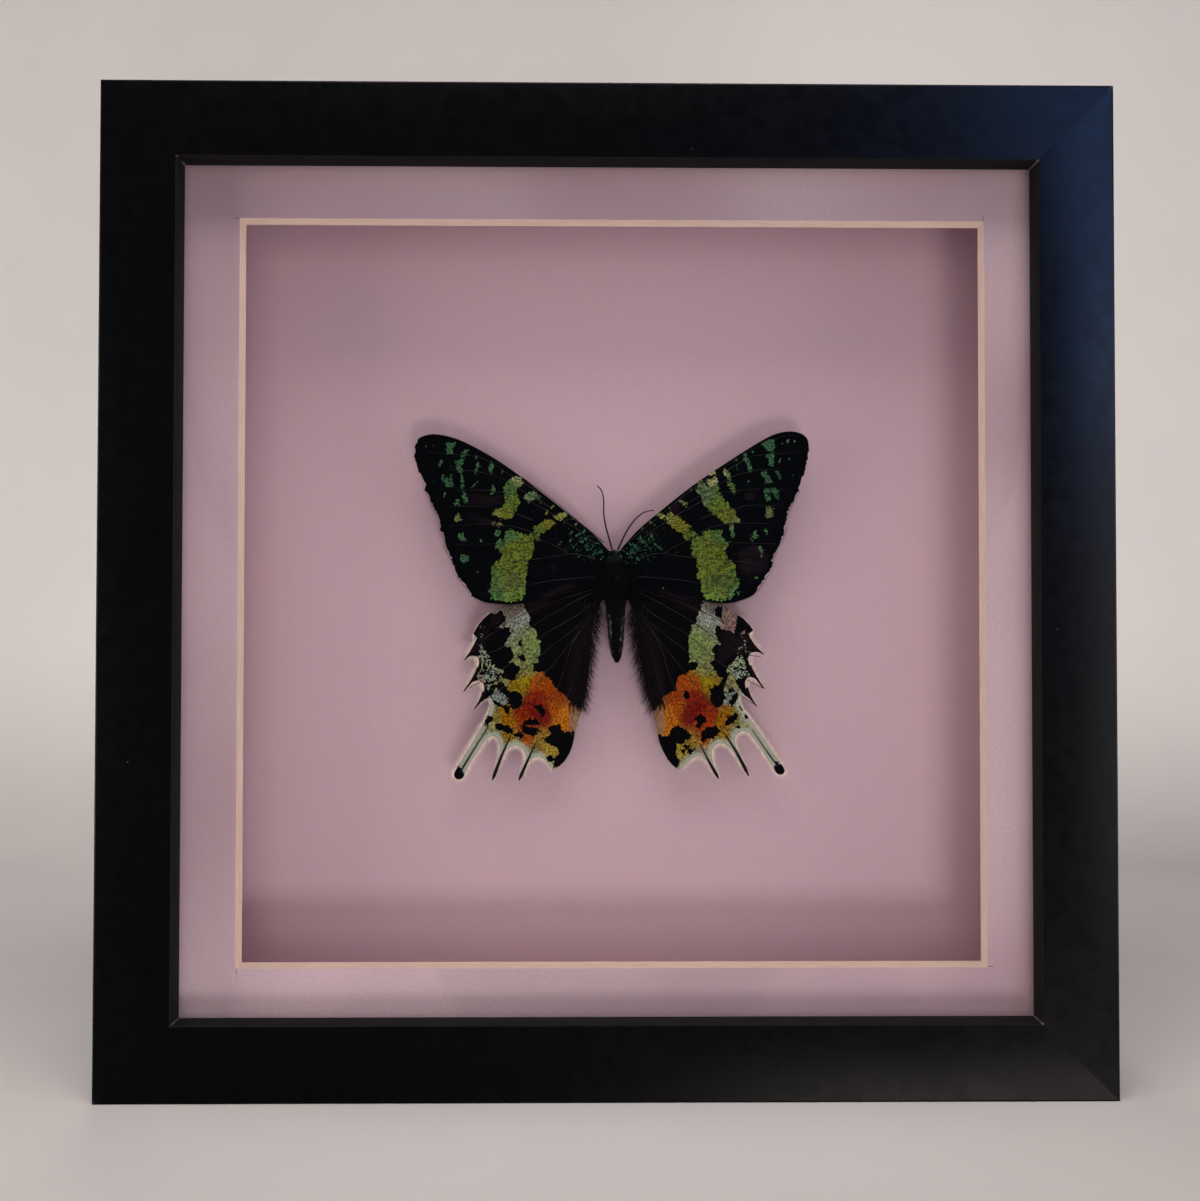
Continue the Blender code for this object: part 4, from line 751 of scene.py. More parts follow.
# %% Dark marks of the hindwings: the large inner field, the corners and the spots
DARK = {
    "hindwing_left": (
        ((-2.0, 1.0), (-9.0, 1.0), (-15.0, 0.0), (-21.0, -2.5), (-22.4, -5.6), (-21.6, -8.2),
         (-20.8, -9.8), (-21.0, -11.0), (-20.0, -12.0), (-18.9, -13.2), (-19.2, -14.3), (-18.4, -15.2),
         (-18.2, -16.6), (-18.6, -18.2), (-19.2, -19.6), (-18.6, -21.0), (-17.4, -22.2), (-17.4, -23.6),
         (-15.6, -24.6), (-14.9, -26.2), (-13.6, -27.4), (-12.2, -28.2), (-11.2, -29.6), (-10.8, -31.0),
         (-9.8, -30.6), (-9.0, -31.4), (-7.6, -30.0), (-6.0, -30.6), (-3.0, -20.0)),
        ((-35.6, -13.6), (-33.8, -10.8), (-31.6, -8.8), (-30.0, -7.9), (-29.1, -8.7), (-28.2, -7.6),
         (-27.2, -8.2), (-26.6, -9.4), (-27.3, -10.6), (-28.9, -12.1), (-27.4, -11.8), (-26.4, -11.6),
         (-25.5, -12.1), (-25.2, -13.1), (-26.0, -14.3), (-26.7, -15.4), (-26.6, -16.6), (-25.2, -16.9),
         (-24.6, -17.6), (-24.8, -19.4), (-25.8, -20.4), (-24.6, -20.5), (-23.6, -21.2), (-23.3, -22.2),
         (-24.0, -23.6), (-24.0, -24.4), (-25.4, -24.8), (-26.4, -24.4), (-27.2, -23.2), (-27.4, -22.1),
         (-28.8, -21.6), (-29.9, -20.4), (-30.2, -19.2), (-31.6, -17.6), (-32.6, -16.0), (-33.6, -15.2)),
        ((-34.6, -14.0), (-33.2, -14.8), (-33.0, -17.4), (-32.7, -19.0), (-32.1, -20.6), (-32.7, -22.0),
         (-33.5, -23.4), (-33.2, -24.4), (-35.0, -25.6), (-37.4, -28.4), (-36.6, -26.0), (-34.2, -22.0),
         (-33.0, -19.4), (-34.6, -18.8), (-37.2, -20.4), (-36.0, -17.6)),
        ((-32.1, -24.6), (-30.2, -24.8), (-28.2, -25.0), (-27.2, -25.3), (-26.4, -26.4), (-25.7, -27.3),
         (-24.4, -27.1), (-23.0, -27.6), (-22.5, -29.0), (-22.8, -30.8), (-24.2, -31.9), (-25.2, -31.2),
         (-25.8, -30.0), (-26.2, -28.9), (-27.2, -27.9), (-28.2, -27.0), (-29.2, -26.4), (-29.5, -27.6),
         (-29.8, -28.6), (-31.2, -29.0), (-34.8, -32.8), (-32.8, -29.6), (-32.0, -27.0)),
        ((-29.8, -28.9), (-28.9, -29.6), (-27.8, -30.3), (-27.0, -30.8), (-26.2, -30.4), (-26.0, -31.0),
         (-26.4, -31.4), (-27.2, -31.2), (-28.4, -30.8), (-29.2, -30.4), (-29.6, -29.8)),
        ((-26.6, -31.8), (-26.1, -31.6), (-26.1, -32.1)),
        ((-19.2, -31.0), (-18.4, -30.8), (-17.6, -32.0), (-17.6, -32.7), (-18.4, -32.2)),
        ((-21.9, -34.8), (-20.6, -34.1), (-19.0, -34.2), (-18.7, -34.9), (-20.2, -35.3)),
        ((-22.5, -36.0), (-20.8, -36.1), (-19.4, -36.3), (-18.6, -36.8), (-20.2, -37.5), (-21.6, -37.1)),
        ((-29.0, -34.9), (-26.6, -35.8), (-25.2, -36.7), (-25.2, -37.0), (-27.2, -36.5), (-28.8, -35.8)),
        ((-24.2, -37.5), (-22.9, -37.5), (-22.4, -38.1), (-23.2, -38.2)),
        ((-30.8, -33.3), (-29.8, -33.8), (-29.9, -34.3), (-30.8, -34.0)),
        ((-31.5, -34.5), (-30.9, -34.7), (-31.1, -35.2)),
        ((-16.5, -36.2), (-15.0, -35.3), (-13.6, -35.2), (-13.0, -36.4), (-12.4, -37.0), (-10.2, -37.2),
         (-9.6, -38.4), (-10.2, -41.0), (-12.0, -44.0), (-13.6, -45.4), (-15.0, -46.0), (-15.2, -44.6),
         (-14.8, -43.2), (-13.8, -42.0), (-14.4, -40.8), (-16.2, -40.0), (-17.9, -38.7), (-16.0, -38.0),
         (-15.4, -37.4)),
        ((-16.6, -43.2), (-15.4, -43.0), (-15.0, -43.8), (-16.0, -43.9)),
        ((-38.0, -45.6), (-37.2, -46.6), (-36.4, -47.6), (-37.0, -48.4), (-38.4, -48.6), (-39.2, -47.4),
         (-38.9, -46.4)),
        ((-23.4, -18.9), (-22.4, -18.8), (-22.0, -19.3), (-22.6, -19.7)),
        ((-23.4, -15.4), (-22.9, -15.4), (-22.9, -15.9)),
        ((-19.8, -20.8), (-18.4, -20.6), (-17.6, -22.2), (-19.6, -22.2)),
    ),
    "hindwing_right": (
        ((2.0, 1.0), (9.0, 1.0), (15.0, 0.0), (20.6, -2.5), (21.0, -6.0), (20.2, -8.2), (19.4, -9.6),
         (19.6, -11.0), (18.4, -11.6), (17.9, -13.6), (17.4, -14.4), (17.8, -16.4), (17.6, -18.0),
         (18.2, -19.6), (17.4, -20.6), (17.4, -22.0), (17.8, -22.6), (15.4, -23.6), (14.6, -25.2),
         (14.4, -27.0), (12.6, -27.8), (11.4, -28.6), (11.0, -30.2), (10.2, -30.8), (9.6, -32.0),
         (8.6, -30.8), (6.0, -31.0), (3.0, -20.0)),
        ((29.3, -8.5), (31.0, -9.8), (33.8, -12.4), (32.1, -13.3), (33.0, -15.2), (36.2, -18.8),
         (34.0, -17.9), (32.3, -18.0), (31.9, -19.6), (33.0, -22.0), (36.4, -27.6), (34.6, -25.0),
         (33.0, -24.0), (31.6, -23.6), (31.1, -25.0), (32.0, -28.0), (34.8, -32.0), (31.6, -29.0),
         (30.4, -27.8), (29.4, -25.6), (29.2, -24.2), (30.6, -23.2), (31.5, -21.6), (31.0, -19.8),
         (29.3, -18.9), (28.6, -20.4), (27.2, -21.4), (26.9, -23.0), (27.2, -24.2), (26.4, -25.6),
         (26.0, -26.8), (26.3, -28.4), (26.0, -30.4), (24.2, -31.1), (23.0, -30.4), (22.6, -28.4),
         (22.8, -26.6), (24.0, -26.0), (25.4, -25.2), (25.6, -24.2), (24.8, -23.8), (24.2, -22.4),
         (23.2, -21.2), (22.8, -20.0), (23.8, -19.6), (23.3, -17.6), (23.2, -16.4), (24.2, -16.0),
         (25.4, -16.0), (24.6, -14.8), (24.0, -13.6), (24.0, -11.6), (25.0, -11.1), (26.2, -12.4),
         (27.4, -12.9), (28.6, -13.2), (29.0, -11.4), (29.3, -10.0)),
        ((24.2, -7.2), (25.4, -7.4), (25.2, -8.9), (24.0, -8.8)),
        ((17.3, -20.4), (18.4, -20.2), (19.3, -20.6), (19.1, -21.6), (18.0, -21.9), (17.2, -21.6)),
        ((16.8, -27.7), (17.5, -27.8), (17.7, -28.4), (17.1, -28.8), (16.6, -28.3)),
        ((26.6, -27.6), (27.2, -26.9), (28.2, -26.0), (28.6, -26.6), (29.6, -27.2), (28.8, -27.5),
         (28.0, -27.4), (27.0, -27.9)),
        ((29.0, -27.8), (29.4, -28.6), (28.6, -29.6), (27.9, -30.6), (27.8, -29.8), (28.4, -28.8)),
        ((26.8, -35.0), (27.4, -33.6), (28.8, -33.0), (29.2, -33.2), (28.4, -34.4)),
        ((19.4, -33.8), (20.4, -32.9), (21.4, -33.6), (21.8, -34.4), (20.6, -34.9), (19.8, -34.7)),
        ((19.2, -35.5), (20.2, -35.1), (20.2, -35.5)),
        ((20.8, -38.9), (21.2, -37.0), (22.2, -36.2), (24.0, -36.0), (24.8, -36.8), (23.6, -38.0)),
        ((13.2, -36.6), (14.4, -35.4), (15.8, -35.8), (17.2, -36.6), (18.2, -37.8), (17.2, -39.0),
         (16.0, -39.9), (14.8, -40.0), (14.6, -42.6), (15.4, -44.4), (14.8, -46.0), (12.2, -43.6),
         (10.0, -39.2), (9.8, -37.6), (13.0, -38.0)),
        ((30.1, -31.2), (30.5, -31.1), (30.4, -31.6)), ((31.4, -33.0), (31.8, -33.2), (31.5, -33.5)),
        ((29.4, -35.8), (29.9, -35.9), (29.6, -36.3)), ((16.4, -40.4), (17.2, -40.5), (17.0, -41.1)),
        ((15.8, -41.5), (16.3, -41.4), (16.2, -42.0)), ((17.6, -41.6), (18.6, -41.2), (18.0, -42.0)),
        ((38.8, -44.6), (40.2, -45.4), (41.0, -46.2), (40.2, -47.4), (38.9, -47.1), (38.6, -46.0)),
    ),
}

# %% Zones where pale and dark scales are mixed: how far the pattern may reach above and below
MOTTLED = {
    "hindwing_left": (
        (-0.10, 0.05, (-33.2, -15.0), (-31.6, -17.2), (-30.0, -19.6), (-29.0, -21.4), (-27.4, -22.2),
                      (-26.8, -24.6), (-28.2, -25.6), (-29.4, -26.4), (-29.6, -28.6), (-31.4, -28.8),
                      (-31.8, -25.6), (-33.4, -24.4), (-32.4, -21.0), (-32.6, -19.0), (-33.2, -17.2)),
        (-0.17, 0.0, (-33.6, -11.2), (-31.8, -10.4), (-31.0, -12.6), (-32.4, -15.0), (-33.4, -13.4)),
    ),
    "hindwing_right": (
        (-0.10, 0.05, (29.2, -16.6), (31.8, -15.2), (32.2, -17.6), (31.0, -18.8), (31.8, -21.6),
                      (32.8, -23.2), (30.8, -24.8), (29.6, -24.2), (28.4, -22.8), (27.0, -23.4),
                      (27.2, -21.2), (29.0, -19.2)),
        (-0.17, 0.0, (30.4, -11.4), (31.6, -11.8), (32.0, -16.0), (30.6, -16.0), (29.6, -13.6)),
    ),
}

# %% [markdown]
# ## How the colours change within the marks
#
# The green turns bluish near the front edge and yellow in the middle of the wing, and the hindwing
# goes from mint through lime and yellow to orange and red. A few named colours at measured places
# are enough: every other point takes a mean of them, weighted towards the nearest.

# %% Palette: colour at a place of the left wings, turned for the right; x above 0 is for the right only
FOREWING_TINTS = (
    ("#44704c", -40.0, 31.0), ("#3d6e45", -37.6, 28.0), ("#437050", -33.6, 26.5),
    ("#3a6242", -41.0, 24.0), ("#426644", -37.2, 23.5), ("#44724c", -30.2, 26.0),
    ("#b8b47c", -23.5, 25.0), ("#55763a", -25.8, 21.8), ("#687e30", -25.0, 18.4),
    ("#747c28", -27.0, 15.6), ("#7b7a48", -29.0, 13.2), ("#44704a", -36.6, 19.2),
    ("#787c46", -38.2, 14.8), ("#4c7650", -37.3, 10.0), ("#44704c", -36.6, 4.8), ("#989a50", -12.6, 15.4),
    ("#827e28", -15.6, 13.6), ("#5c7028", -18.6, 10.8), ("#6a8058", -20.6, 20.0),
    ("#46704a", -28.4, 10.8), ("#53743e", -25.2, 10.4), ("#6a7a2c", -22.0, 9.6), ("#6d7a26", -24.4, 7.2),
    ("#6f7c2a", -22.0, 3.0), ("#69782a", -27.0, 3.0), ("#5d7a36", -29.2, 0.6), ("#5d6c34", -25.5, -0.8),
    ("#76843c", -25.0, -3.0), ("#6f8f3c", -24.0, -4.8), ("#56804a", -29.4, -4.0), ("#3d6850", -7.0, 9.0),
    ("#3a644e", -4.0, 6.6), ("#355c46", -11.0, 8.0), ("#8d8f86", -45.0, 32.0),
)
HINDWING_TINTS = (
    ("#7c7066", -25.0, -7.6), ("#a2a89e", -23.0, -10.4), ("#8f9a7a", -22.0, -12.6),
    ("#8a9c58", -20.8, -14.2), ("#82985a", -20.0, -17.5), ("#8a925c", -22.0, -21.0),
    ("#8f8c44", -21.6, -22.8), ("#949f90", -31.0, -17.6), ("#a0a884", -31.0, -21.0),
    ("#96a596", -30.4, -23.6), ("#8f8f5c", -28.2, -25.2), ("#8c9a92", -28.0, -28.6),
    ("#a08a10", -21.4, -24.4), ("#947c10", -24.2, -26.2), ("#b4580a", -19.6, -25.2),
    ("#b04e08", -16.4, -25.4), ("#a8480a", -14.0, -28.6), ("#90260c", -19.0, -28.6),
    ("#80180c", -20.0, -31.2), ("#80160c", -17.4, -32.6), ("#98300a", -22.6, -32.6),
    ("#a43c08", -21.6, -35.4), ("#e2841a", -12.4, -32.6), ("#d27a12", -12.4, -35.0),
    ("#b8580a", -14.8, -31.6), ("#a06c08", -27.0, -32.6), ("#a46a06", -26.0, -34.6),
    ("#8f8436", -28.8, -33.2), ("#b0580e", -21.6, -38.2), ("#a8821c", -25.8, -38.2),
    ("#a08030", -18.4, -40.0), ("#b89c38", -16.8, -41.4), ("#b0a670", -24.2, -39.9),
    ("#9a9a80", -18.6, -42.6), ("#a09a5e", -29.6, -36.4), ("#9aa08c", -29.6, -37.6),
    ("#a8a088", -33.0, -40.0), ("#a09c88", -36.4, -45.0), ("#b0a890", -31.0, -33.0),
    ("#a89a84", -27.2, -41.4), ("#a89a84", -22.0, -43.0), ("#a08c70", -9.8, -34.6),
    ("#8a7d70", -30.0, -7.6), ("#b09a80", -33.4, -24.6), ("#957670", 27.4, -9.4),
    ("#957670", 28.2, -11.6),
)

# Rubbed places, where brown membrane shows between the scales: softness, then an outline
WORN = {
    "forewing_left": (
        (1.6, (-35.6, 17.6), (-35.6, 20.1), (-28.0, 19.6), (-28.0, 18.0)),
        (0.7, (-35.4, 15.6), (-28.0, 13.2), (-28.4, 12.2), (-34.6, 14.2)),
        (0.5, (-26.2, 0.6), (-24.2, 0.9), (-24.0, -0.2), (-25.8, -0.4)),
        (0.4, (-27.4, 5.4), (-25.4, 5.4), (-25.4, 4.7), (-27.4, 4.6)),
        (0.5, (-18.9, 1.7), (-17.6, 2.1), (-17.8, 1.3)),
        (0.6, (-16.0, 2.9), (-14.6, 3.2), (-14.6, 2.1), (-15.8, 1.9)),
        (0.7, (-9.6, -1.6), (-12.6, -1.6), (-18.2, -4.2), (-17.0, -5.0), (-12.0, -2.8)),
        (0.5, (-31.2, -2.2), (-25.6, -1.6), (-22.0, -0.6), (-22.0, -1.2), (-26.0, -2.2), (-31.0, -3.0)),
    ),
    "forewing_right": (
        (1.2, (29.4, 2.0), (29.6, 6.4), (33.8, 8.4), (36.6, 5.6), (35.8, 2.2), (32.0, 0.6)),
        (0.7, (12.2, 15.8), (14.8, 19.4), (16.4, 19.4), (14.8, 16.2)),
        (0.7, (6.6, 11.0), (8.0, 12.2), (10.0, 11.0), (8.2, 10.0)),
        (0.8, (11.0, -2.9), (16.0, -4.3), (19.8, -4.9), (16.0, -5.0), (11.0, -3.8)),
        (0.6, (31.0, 19.0), (33.4, 19.2), (33.4, 20.8), (31.2, 20.6)),
    ),
    "hindwing_left": (
        (1.5, (-16.0, -3.0), (-22.5, -6.0), (-21.0, -8.6), (-16.0, -6.5)),
        (1.0, (-30.0, -8.6), (-27.6, -9.0), (-28.4, -11.0), (-33.0, -12.6), (-35.0, -18.6),
              (-31.6, -16.4)),
        (2.4, (-5.0, -12.0), (-9.6, -12.0), (-12.0, -30.0), (-7.0, -32.0)),
    ),
    "hindwing_right": (
        (1.5, (15.0, -3.0), (20.5, -5.6), (19.6, -8.2), (15.0, -6.5)),
        (1.0, (26.0, -12.6), (29.6, -14.0), (33.0, -12.4), (34.0, -17.4), (29.4, -18.0), (24.4, -20.8)),
        (2.4, (5.0, -12.0), (9.6, -12.0), (12.0, -30.0), (7.4, -32.0)),
    ),
}

# %% [markdown]
# ## Distances to the borders
#
# For each point of a wing the script measures the distance to the nearest border, positive inside
# and negative outside. Such a distance can be stored on a fairly coarse mesh and still gives a sharp
# edge, because the shader decides where it passes zero. Numpy does one border at a time for all
# points at once, which takes a second where plain loops would take minutes.

# %% Curves, distances and the arch of a wing


def smooth_run(points, step):
    """Points about step apart on a smooth curve through the given ones, without the last."""
    ends = [points[0], *points, points[-1]]
    curve = []
    for i in range(1, len(ends) - 2):
        before, a, b, after = (Vector(p) for p in ends[i - 1:i + 3])
        parts = max(1, round((b - a).length / step))
        for k in range(parts):
            t = k / parts
            curve.append(0.5 * (2 * a + (b - before) * t + (2 * before - 5 * a + 4 * b - after) * t ** 2
                                + (3 * a - before - 3 * b + after) * t ** 3))
    return curve


def to_line(points, line, closed=False):
    """Distance of each point to a line or a closed outline."""
    line = np.asarray(line, float).reshape(-1, 2)
    if len(line) == 1:
        return np.linalg.norm(points - line[0], axis=1)
    ends = np.roll(line, -1, axis=0) if closed else line[1:]
    best = np.full(len(points), 1e9)
    for a, b in zip(line, ends):
        along = b - a
        t = np.clip(((points - a) @ along) / max(along @ along, 1e-9), 0.0, 1.0)
        best = np.minimum(best, np.linalg.norm(points - a - t[:, None] * along, axis=1))
    return best


def is_inside(points, outline):
    """Whether each point lies within a closed outline."""
    outline = np.asarray(outline, float)
    hit = np.zeros(len(points), bool)
    for a, b in zip(outline, np.roll(outline, -1, axis=0)):
        if a[1] == b[1]:
            continue
        crosses = (a[1] > points[:, 1]) != (b[1] > points[:, 1])
        at = a[0] + (b[0] - a[0]) * (points[:, 1] - a[1]) / (b[1] - a[1])
        hit ^= crosses & (points[:, 0] < at)
    return hit


def border(points, outline):
    """Distance to an outline, positive inside it."""
    away = to_line(points, outline, closed=True)
    return np.where(is_inside(points, outline), away, -away)


def arch(x):
    """How far a wing rises towards the glass at a distance x from the body."""
    return ARCH * np.sin(np.pi * np.minimum(np.abs(x), ARCH_SPAN) / ARCH_SPAN)


# %% [markdown]
# ## Veins
#
# Veins are hollow struts that carry the membrane. They fan out from the wing's root, thick there
# and fine at the edge. They are listed as lines, used twice: to lift the membrane a little along
# each line, and as guides that Geometry Nodes sweeps a thin tube along.

# %% Veins, for the right side (x is turned for the left)
FOREWING_VEINS = (
    ((3.6, 1.1), (5.0, 0.6), (10.0, 0.1), (15.5, -0.35), (19.5, -1.0), (28.0, -2.6), (33.0, -3.5)),
    ((5.0, 4.6), (7.0, 5.4), (9.5, 6.0), (11.3, 6.1), (14.5, 7.9), (17.8, 9.2), (20.0, 9.1), (28.3, 8.7),
     (38.6, 8.4)),
    ((11.4, 6.1), (14.0, 5.6), (17.0, 5.2), (19.6, 4.9), (28.5, 4.2), (37.0, 3.7)),
    ((5.0, 8.4), (6.8, 9.8), (9.0, 11.8), (12.0, 13.6), (14.5, 15.2), (19.0, 17.8), (21.5, 19.0),
     (24.0, 20.4), (28.0, 21.1), (33.0, 21.6), (42.6, 21.6)),
    ((20.0, 14.2), (24.0, 15.8), (28.5, 16.8), (32.5, 17.7), (40.6, 17.6)),
    ((17.8, 9.2), (20.5, 11.4), (24.0, 12.6), (27.0, 13.1), (33.0, 13.4), (40.4, 13.0)),
    ((16.0, 17.4), (20.6, 20.2), (24.0, 22.2), (28.0, 24.6), (32.6, 25.9), (36.0, 26.4), (44.6, 26.6)),
    ((19.0, 21.2), (26.0, 25.6), (32.0, 29.2), (36.0, 30.0), (45.4, 30.8)),
    ((3.0, 8.8), (10.0, 14.7), (18.4, 21.6), (27.4, 27.7), (35.0, 32.4), (41.0, 34.6)),
)
HINDWING_VEINS = (
    ((5.6, -2.6), (10.0, -4.0), (14.0, -5.2), (20.5, -7.8), (24.0, -9.5), (26.6, -11.2), (30.2, -13.6),
     (32.4, -15.0)),
    ((5.6, -3.4), (9.0, -5.0), (14.0, -7.8), (20.0, -11.4), (25.6, -15.6), (31.0, -18.2), (35.0, -18.8)),
    ((6.0, -6.0), (9.0, -8.6), (13.0, -11.0), (18.0, -14.0), (23.8, -19.2), (29.0, -23.0), (35.4, -26.4)),
    ((6.0, -8.0), (8.0, -10.4), (11.4, -13.2), (17.6, -18.0), (24.6, -24.4), (29.0, -27.4),
     (33.4, -30.4)),
    ((5.8, -8.4), (10.0, -14.4), (15.4, -21.0), (21.0, -28.0), (24.9, -33.6)),
    ((5.6, -9.0), (10.4, -15.6), (12.8, -23.0), (15.4, -29.4), (18.0, -34.6), (20.0, -39.0)),
    ((5.4, -9.4), (8.4, -18.0), (10.4, -25.0), (12.6, -31.0), (13.8, -35.6)),
)
MIDRIBS = {
    "hindwing_left": (
        ((-25.0, -37.0), (-26.3, -40.0), (-27.6, -43.0), (-29.8, -48.8)),
        ((-19.0, -39.0), (-21.3, -44.0), (-23.4, -48.8)),
        ((-31.0, -36.0), (-34.4, -41.6), (-37.6, -46.8)),
    ),
    "hindwing_right": (
        ((25.0, -35.5), (26.6, -38.0), (28.6, -41.0), (30.0, -43.5), (32.2, -47.8)),
        ((20.3, -40.0), (22.4, -44.0), (24.9, -48.4)), ((33.0, -36.6), (36.4, -41.6), (39.2, -45.4)),
    ),
}

SPIKES = {
    "hindwing_left": (
        ((-33.3, -15.8), (-34.8, -17.7), (-36.5, -19.7)),
        ((-33.0, -21.6), (-34.5, -24.3), (-36.7, -27.3)),
        ((-31.7, -27.4), (-32.6, -29.4), (-34.1, -31.5)),
    ),
    "hindwing_right": (
        ((32.3, -14.8), (33.6, -16.5), (35.7, -18.3)), ((32.2, -21.0), (33.6, -23.5), (35.8, -26.6)),
        ((31.5, -26.4), (32.5, -28.7), (34.0, -30.8)),
    ),
}


def veins_of(name):
    """The veins of a wing on its own side, with the left forewing's a little lower."""
    side = -1.0 if name.endswith("left") else 1.0
    listed = FOREWING_VEINS if name.startswith("forewing") else HINDWING_VEINS
    drop = 0.4 if name == "forewing_left" else 0.0
    return [[(side * x, z - drop * min(1.0, x / 30.0)) for x, z in line] for line in listed]


# %% [markdown]
# ## The membranes
#
# Each wing becomes a fine sheet of triangles: the outline, a staggered grid of points inside it, and
# Blender's own Delaunay function to join them. The sheet is arched, waves a little between the
# veins and has a front and a back with a thin rim, so it is a closed thing with a real edge.

# %% Build the four wings
# The gap between a sheet's points, half its thickness, how much a small dark spot is widened on
# every side, and how many places are tried for loose scales
SPACING = 0.36
THIN = 0.07
SPOT_GROWTH = 0.4
FLECKS = 260


def tint_at(points, palette, side):
    """A weighted mean of the palette's colours at each point."""
    total = np.zeros((len(points), 3))
    weights = np.zeros(len(points))
    for code, x, z in palette:
        if x > 0 and side < 0:
            continue
        away = (points[:, 0] - side * abs(x)) ** 2 + (points[:, 1] - z) ** 2
        weight = 1.0 / (away + 0.2) ** 3.0
        total += weight[:, None] * np.array(srgb(code)[:3])
        weights += weight
    return total / weights[:, None]


def pattern_at(name, at):
    """Distance in millimetres to the nearest border of the marks, positive where the scales are coloured."""
    if name in GREEN:
        return np.max([border(at, mark) for mark in GREEN[name]], axis=0)
    dark = [border(at, mark) + (SPOT_GROWTH if len(mark) < 8 else 0.0) for mark in DARK[name]]
    pattern = -np.max(dark, axis=0)
    for lowest, highest, *zone in MOTTLED[name]:
        share = np.clip(border(at, zone) / 0.6 + 0.5, 0.0, 1.0)
        pattern += share * (np.clip(pattern, lowest, highest) - pattern)
    return pattern


def add_wing(name):
    """A two-sided arched sheet whose points know their distance to the marks and their colour."""
    side = -1.0 if name.endswith("left") else 1.0
    fore = name.startswith("forewing")
    outline = [p for _, run in OUTLINES[name] for p in smooth_run(run, 0.5)]
    edge = np.array([(p.x, p.y) for p in outline])
    if fore:
        # Worn scales give the outer margin fine teeth.
        teeth = np.random.default_rng(5).uniform(-0.46, 0.2, len(edge))
        away = np.abs(edge[:, 0])
        teeth *= np.clip((away - 32.0) / 2.0, 0.0, 1.0) * (edge[:, 1] < away - 15.0)
        edge[:, 0] += side * teeth
    low, high = edge.min(0), edge.max(0)
    rows = int((high[1] - low[1]) / (SPACING * 0.87)) + 1
    columns = int((high[0] - low[0]) / SPACING) + 2
    grid = np.array([(low[0] + (c + 0.5 * (r % 2)) * SPACING, low[1] + r * SPACING * 0.87)
                     for r in range(rows) for c in range(columns)])
    grid = grid[border(grid, edge) > SPACING * 0.5]
    points = [Vector(p) for p in edge.tolist() + grid.tolist()]
    rim = [(i, (i + 1) % len(edge)) for i in range(len(edge))]
    flat, _, triangles, _, _, _ = delaunay_2d_cdt(points, rim, [], 1, 1e-4)
    at = np.array([(p.x, p.y) for p in flat])

    rise = arch(at[:, 0])
    near_vein = np.full(len(at), 9.0)
    for line in veins_of(name):
        curve = [tuple(p) for p in smooth_run(line, 1.0)] + [line[-1]]
        near_vein = np.minimum(near_vein, to_line(at, curve))
    rise += 0.10 * np.exp(-(near_vein / 0.5) ** 2)
    rise += 0.05 * np.sin(at[:, 0] / 2.7 + at[:, 1] / 5.0) * np.sin(at[:, 1] / 3.1)
    depth = (0.0 if fore else HINDWING_D) - rise
    front = np.column_stack([at[:, 0], depth - THIN, at[:, 1]])
    back = front + (0.0, 2 * THIN, 0.0)
    count = len(at)
    faces = [tuple(t) for t in triangles]
    faces += [tuple(count + i for i in reversed(t)) for t in triangles]
    used = {(a, b) for t in triangles for a, b in zip(t, t[1:] + t[:1])}
    faces += [(b, a, count + a, count + b) for a, b in used if (b, a) not in used]
    sheet = metres(np.vstack([front, back]), pinned=True)
    wing = add_mesh(f"{name}_membrane", sheet, faces, None, smooth=True)

    pattern = pattern_at(name, at)
    streak = np.full(count, -9.0)
    flecks = list(STREAKS[name])
    if fore:
        # Loose pale scales near the root get rarer and smaller away from the body.
        stray = np.random.default_rng(21)
        across = stray.uniform(2.0, 15.0, FLECKS)
        along = stray.uniform(3.4, 15.0, FLECKS)
        sizes = stray.uniform(0.0, 1.0, FLECKS)
        for x, z, size in zip(across, along, sizes):
            if 3.4 + 0.12 * x < z < 6.2 + 0.80 * x and size < 1.15 - x / 22.0:
                run = 0.2 + 0.7 * size * size
                lean = 0.9 - 1.2 * ((7.0 * x) % 1.0)
                flecks.append((0.03 + 0.10 * size, (side * x, z), (side * (x + run * 0.8), z - run * lean)))
    for half_width, *line in flecks:
        streak = np.maximum(streak, half_width - to_line(at, line))
    worn = np.zeros(count)
    for soft, *outline_of_mark in WORN[name]:
        worn = np.maximum(worn, np.clip(border(at, outline_of_mark) / soft + 0.5, 0.0, 1.0))
    tint = tint_at(at, FOREWING_TINTS if fore else HINDWING_TINTS, side)
    fringed = [[tuple(p) for p in smooth_run(run, 0.5)]
               for reach, run in OUTLINES[name] if reach and run[0][1] < -28.0]
    rim_distance = np.min([to_line(at, run) for run in fringed] + [np.full(count, 9.0)], axis=0)
    for label, values in (("pattern", pattern), ("streak", streak), ("worn", worn), ("rim", rim_distance)):
        held = wing.data.attributes.new(label, "FLOAT", "POINT")
        held.data.foreach_set("value", np.tile(values, 2).astype(np.float32))
    held = wing.data.attributes.new("tint", "FLOAT_COLOR", "POINT")
    rgba = np.tile(np.column_stack([tint, np.ones(count)]), (2, 1))
    held.data.foreach_set("color", rgba.astype(np.float32).ravel())
    keep(wing, "moth_forewing" if fore else "moth_hindwing", name)
    return wing


wings = {name: add_wing(name) for name in OUTLINES}
for name, wing in wings.items():
    print(name, len(wing.data.polygons), "faces")

# %% [markdown]
# ## Scales on the wings
#
# What looks like paint is a roof of dust-fine scales. From arm's length it reads as three things:
# borders that are ragged by a scale or two, short dark dashes where rows of scales part, and a
# grain of lighter and darker specks. The black scales swallow nearly all light, so they get almost
# no shine. One function makes both materials, since only their numbers differ.

# %% Wing materials


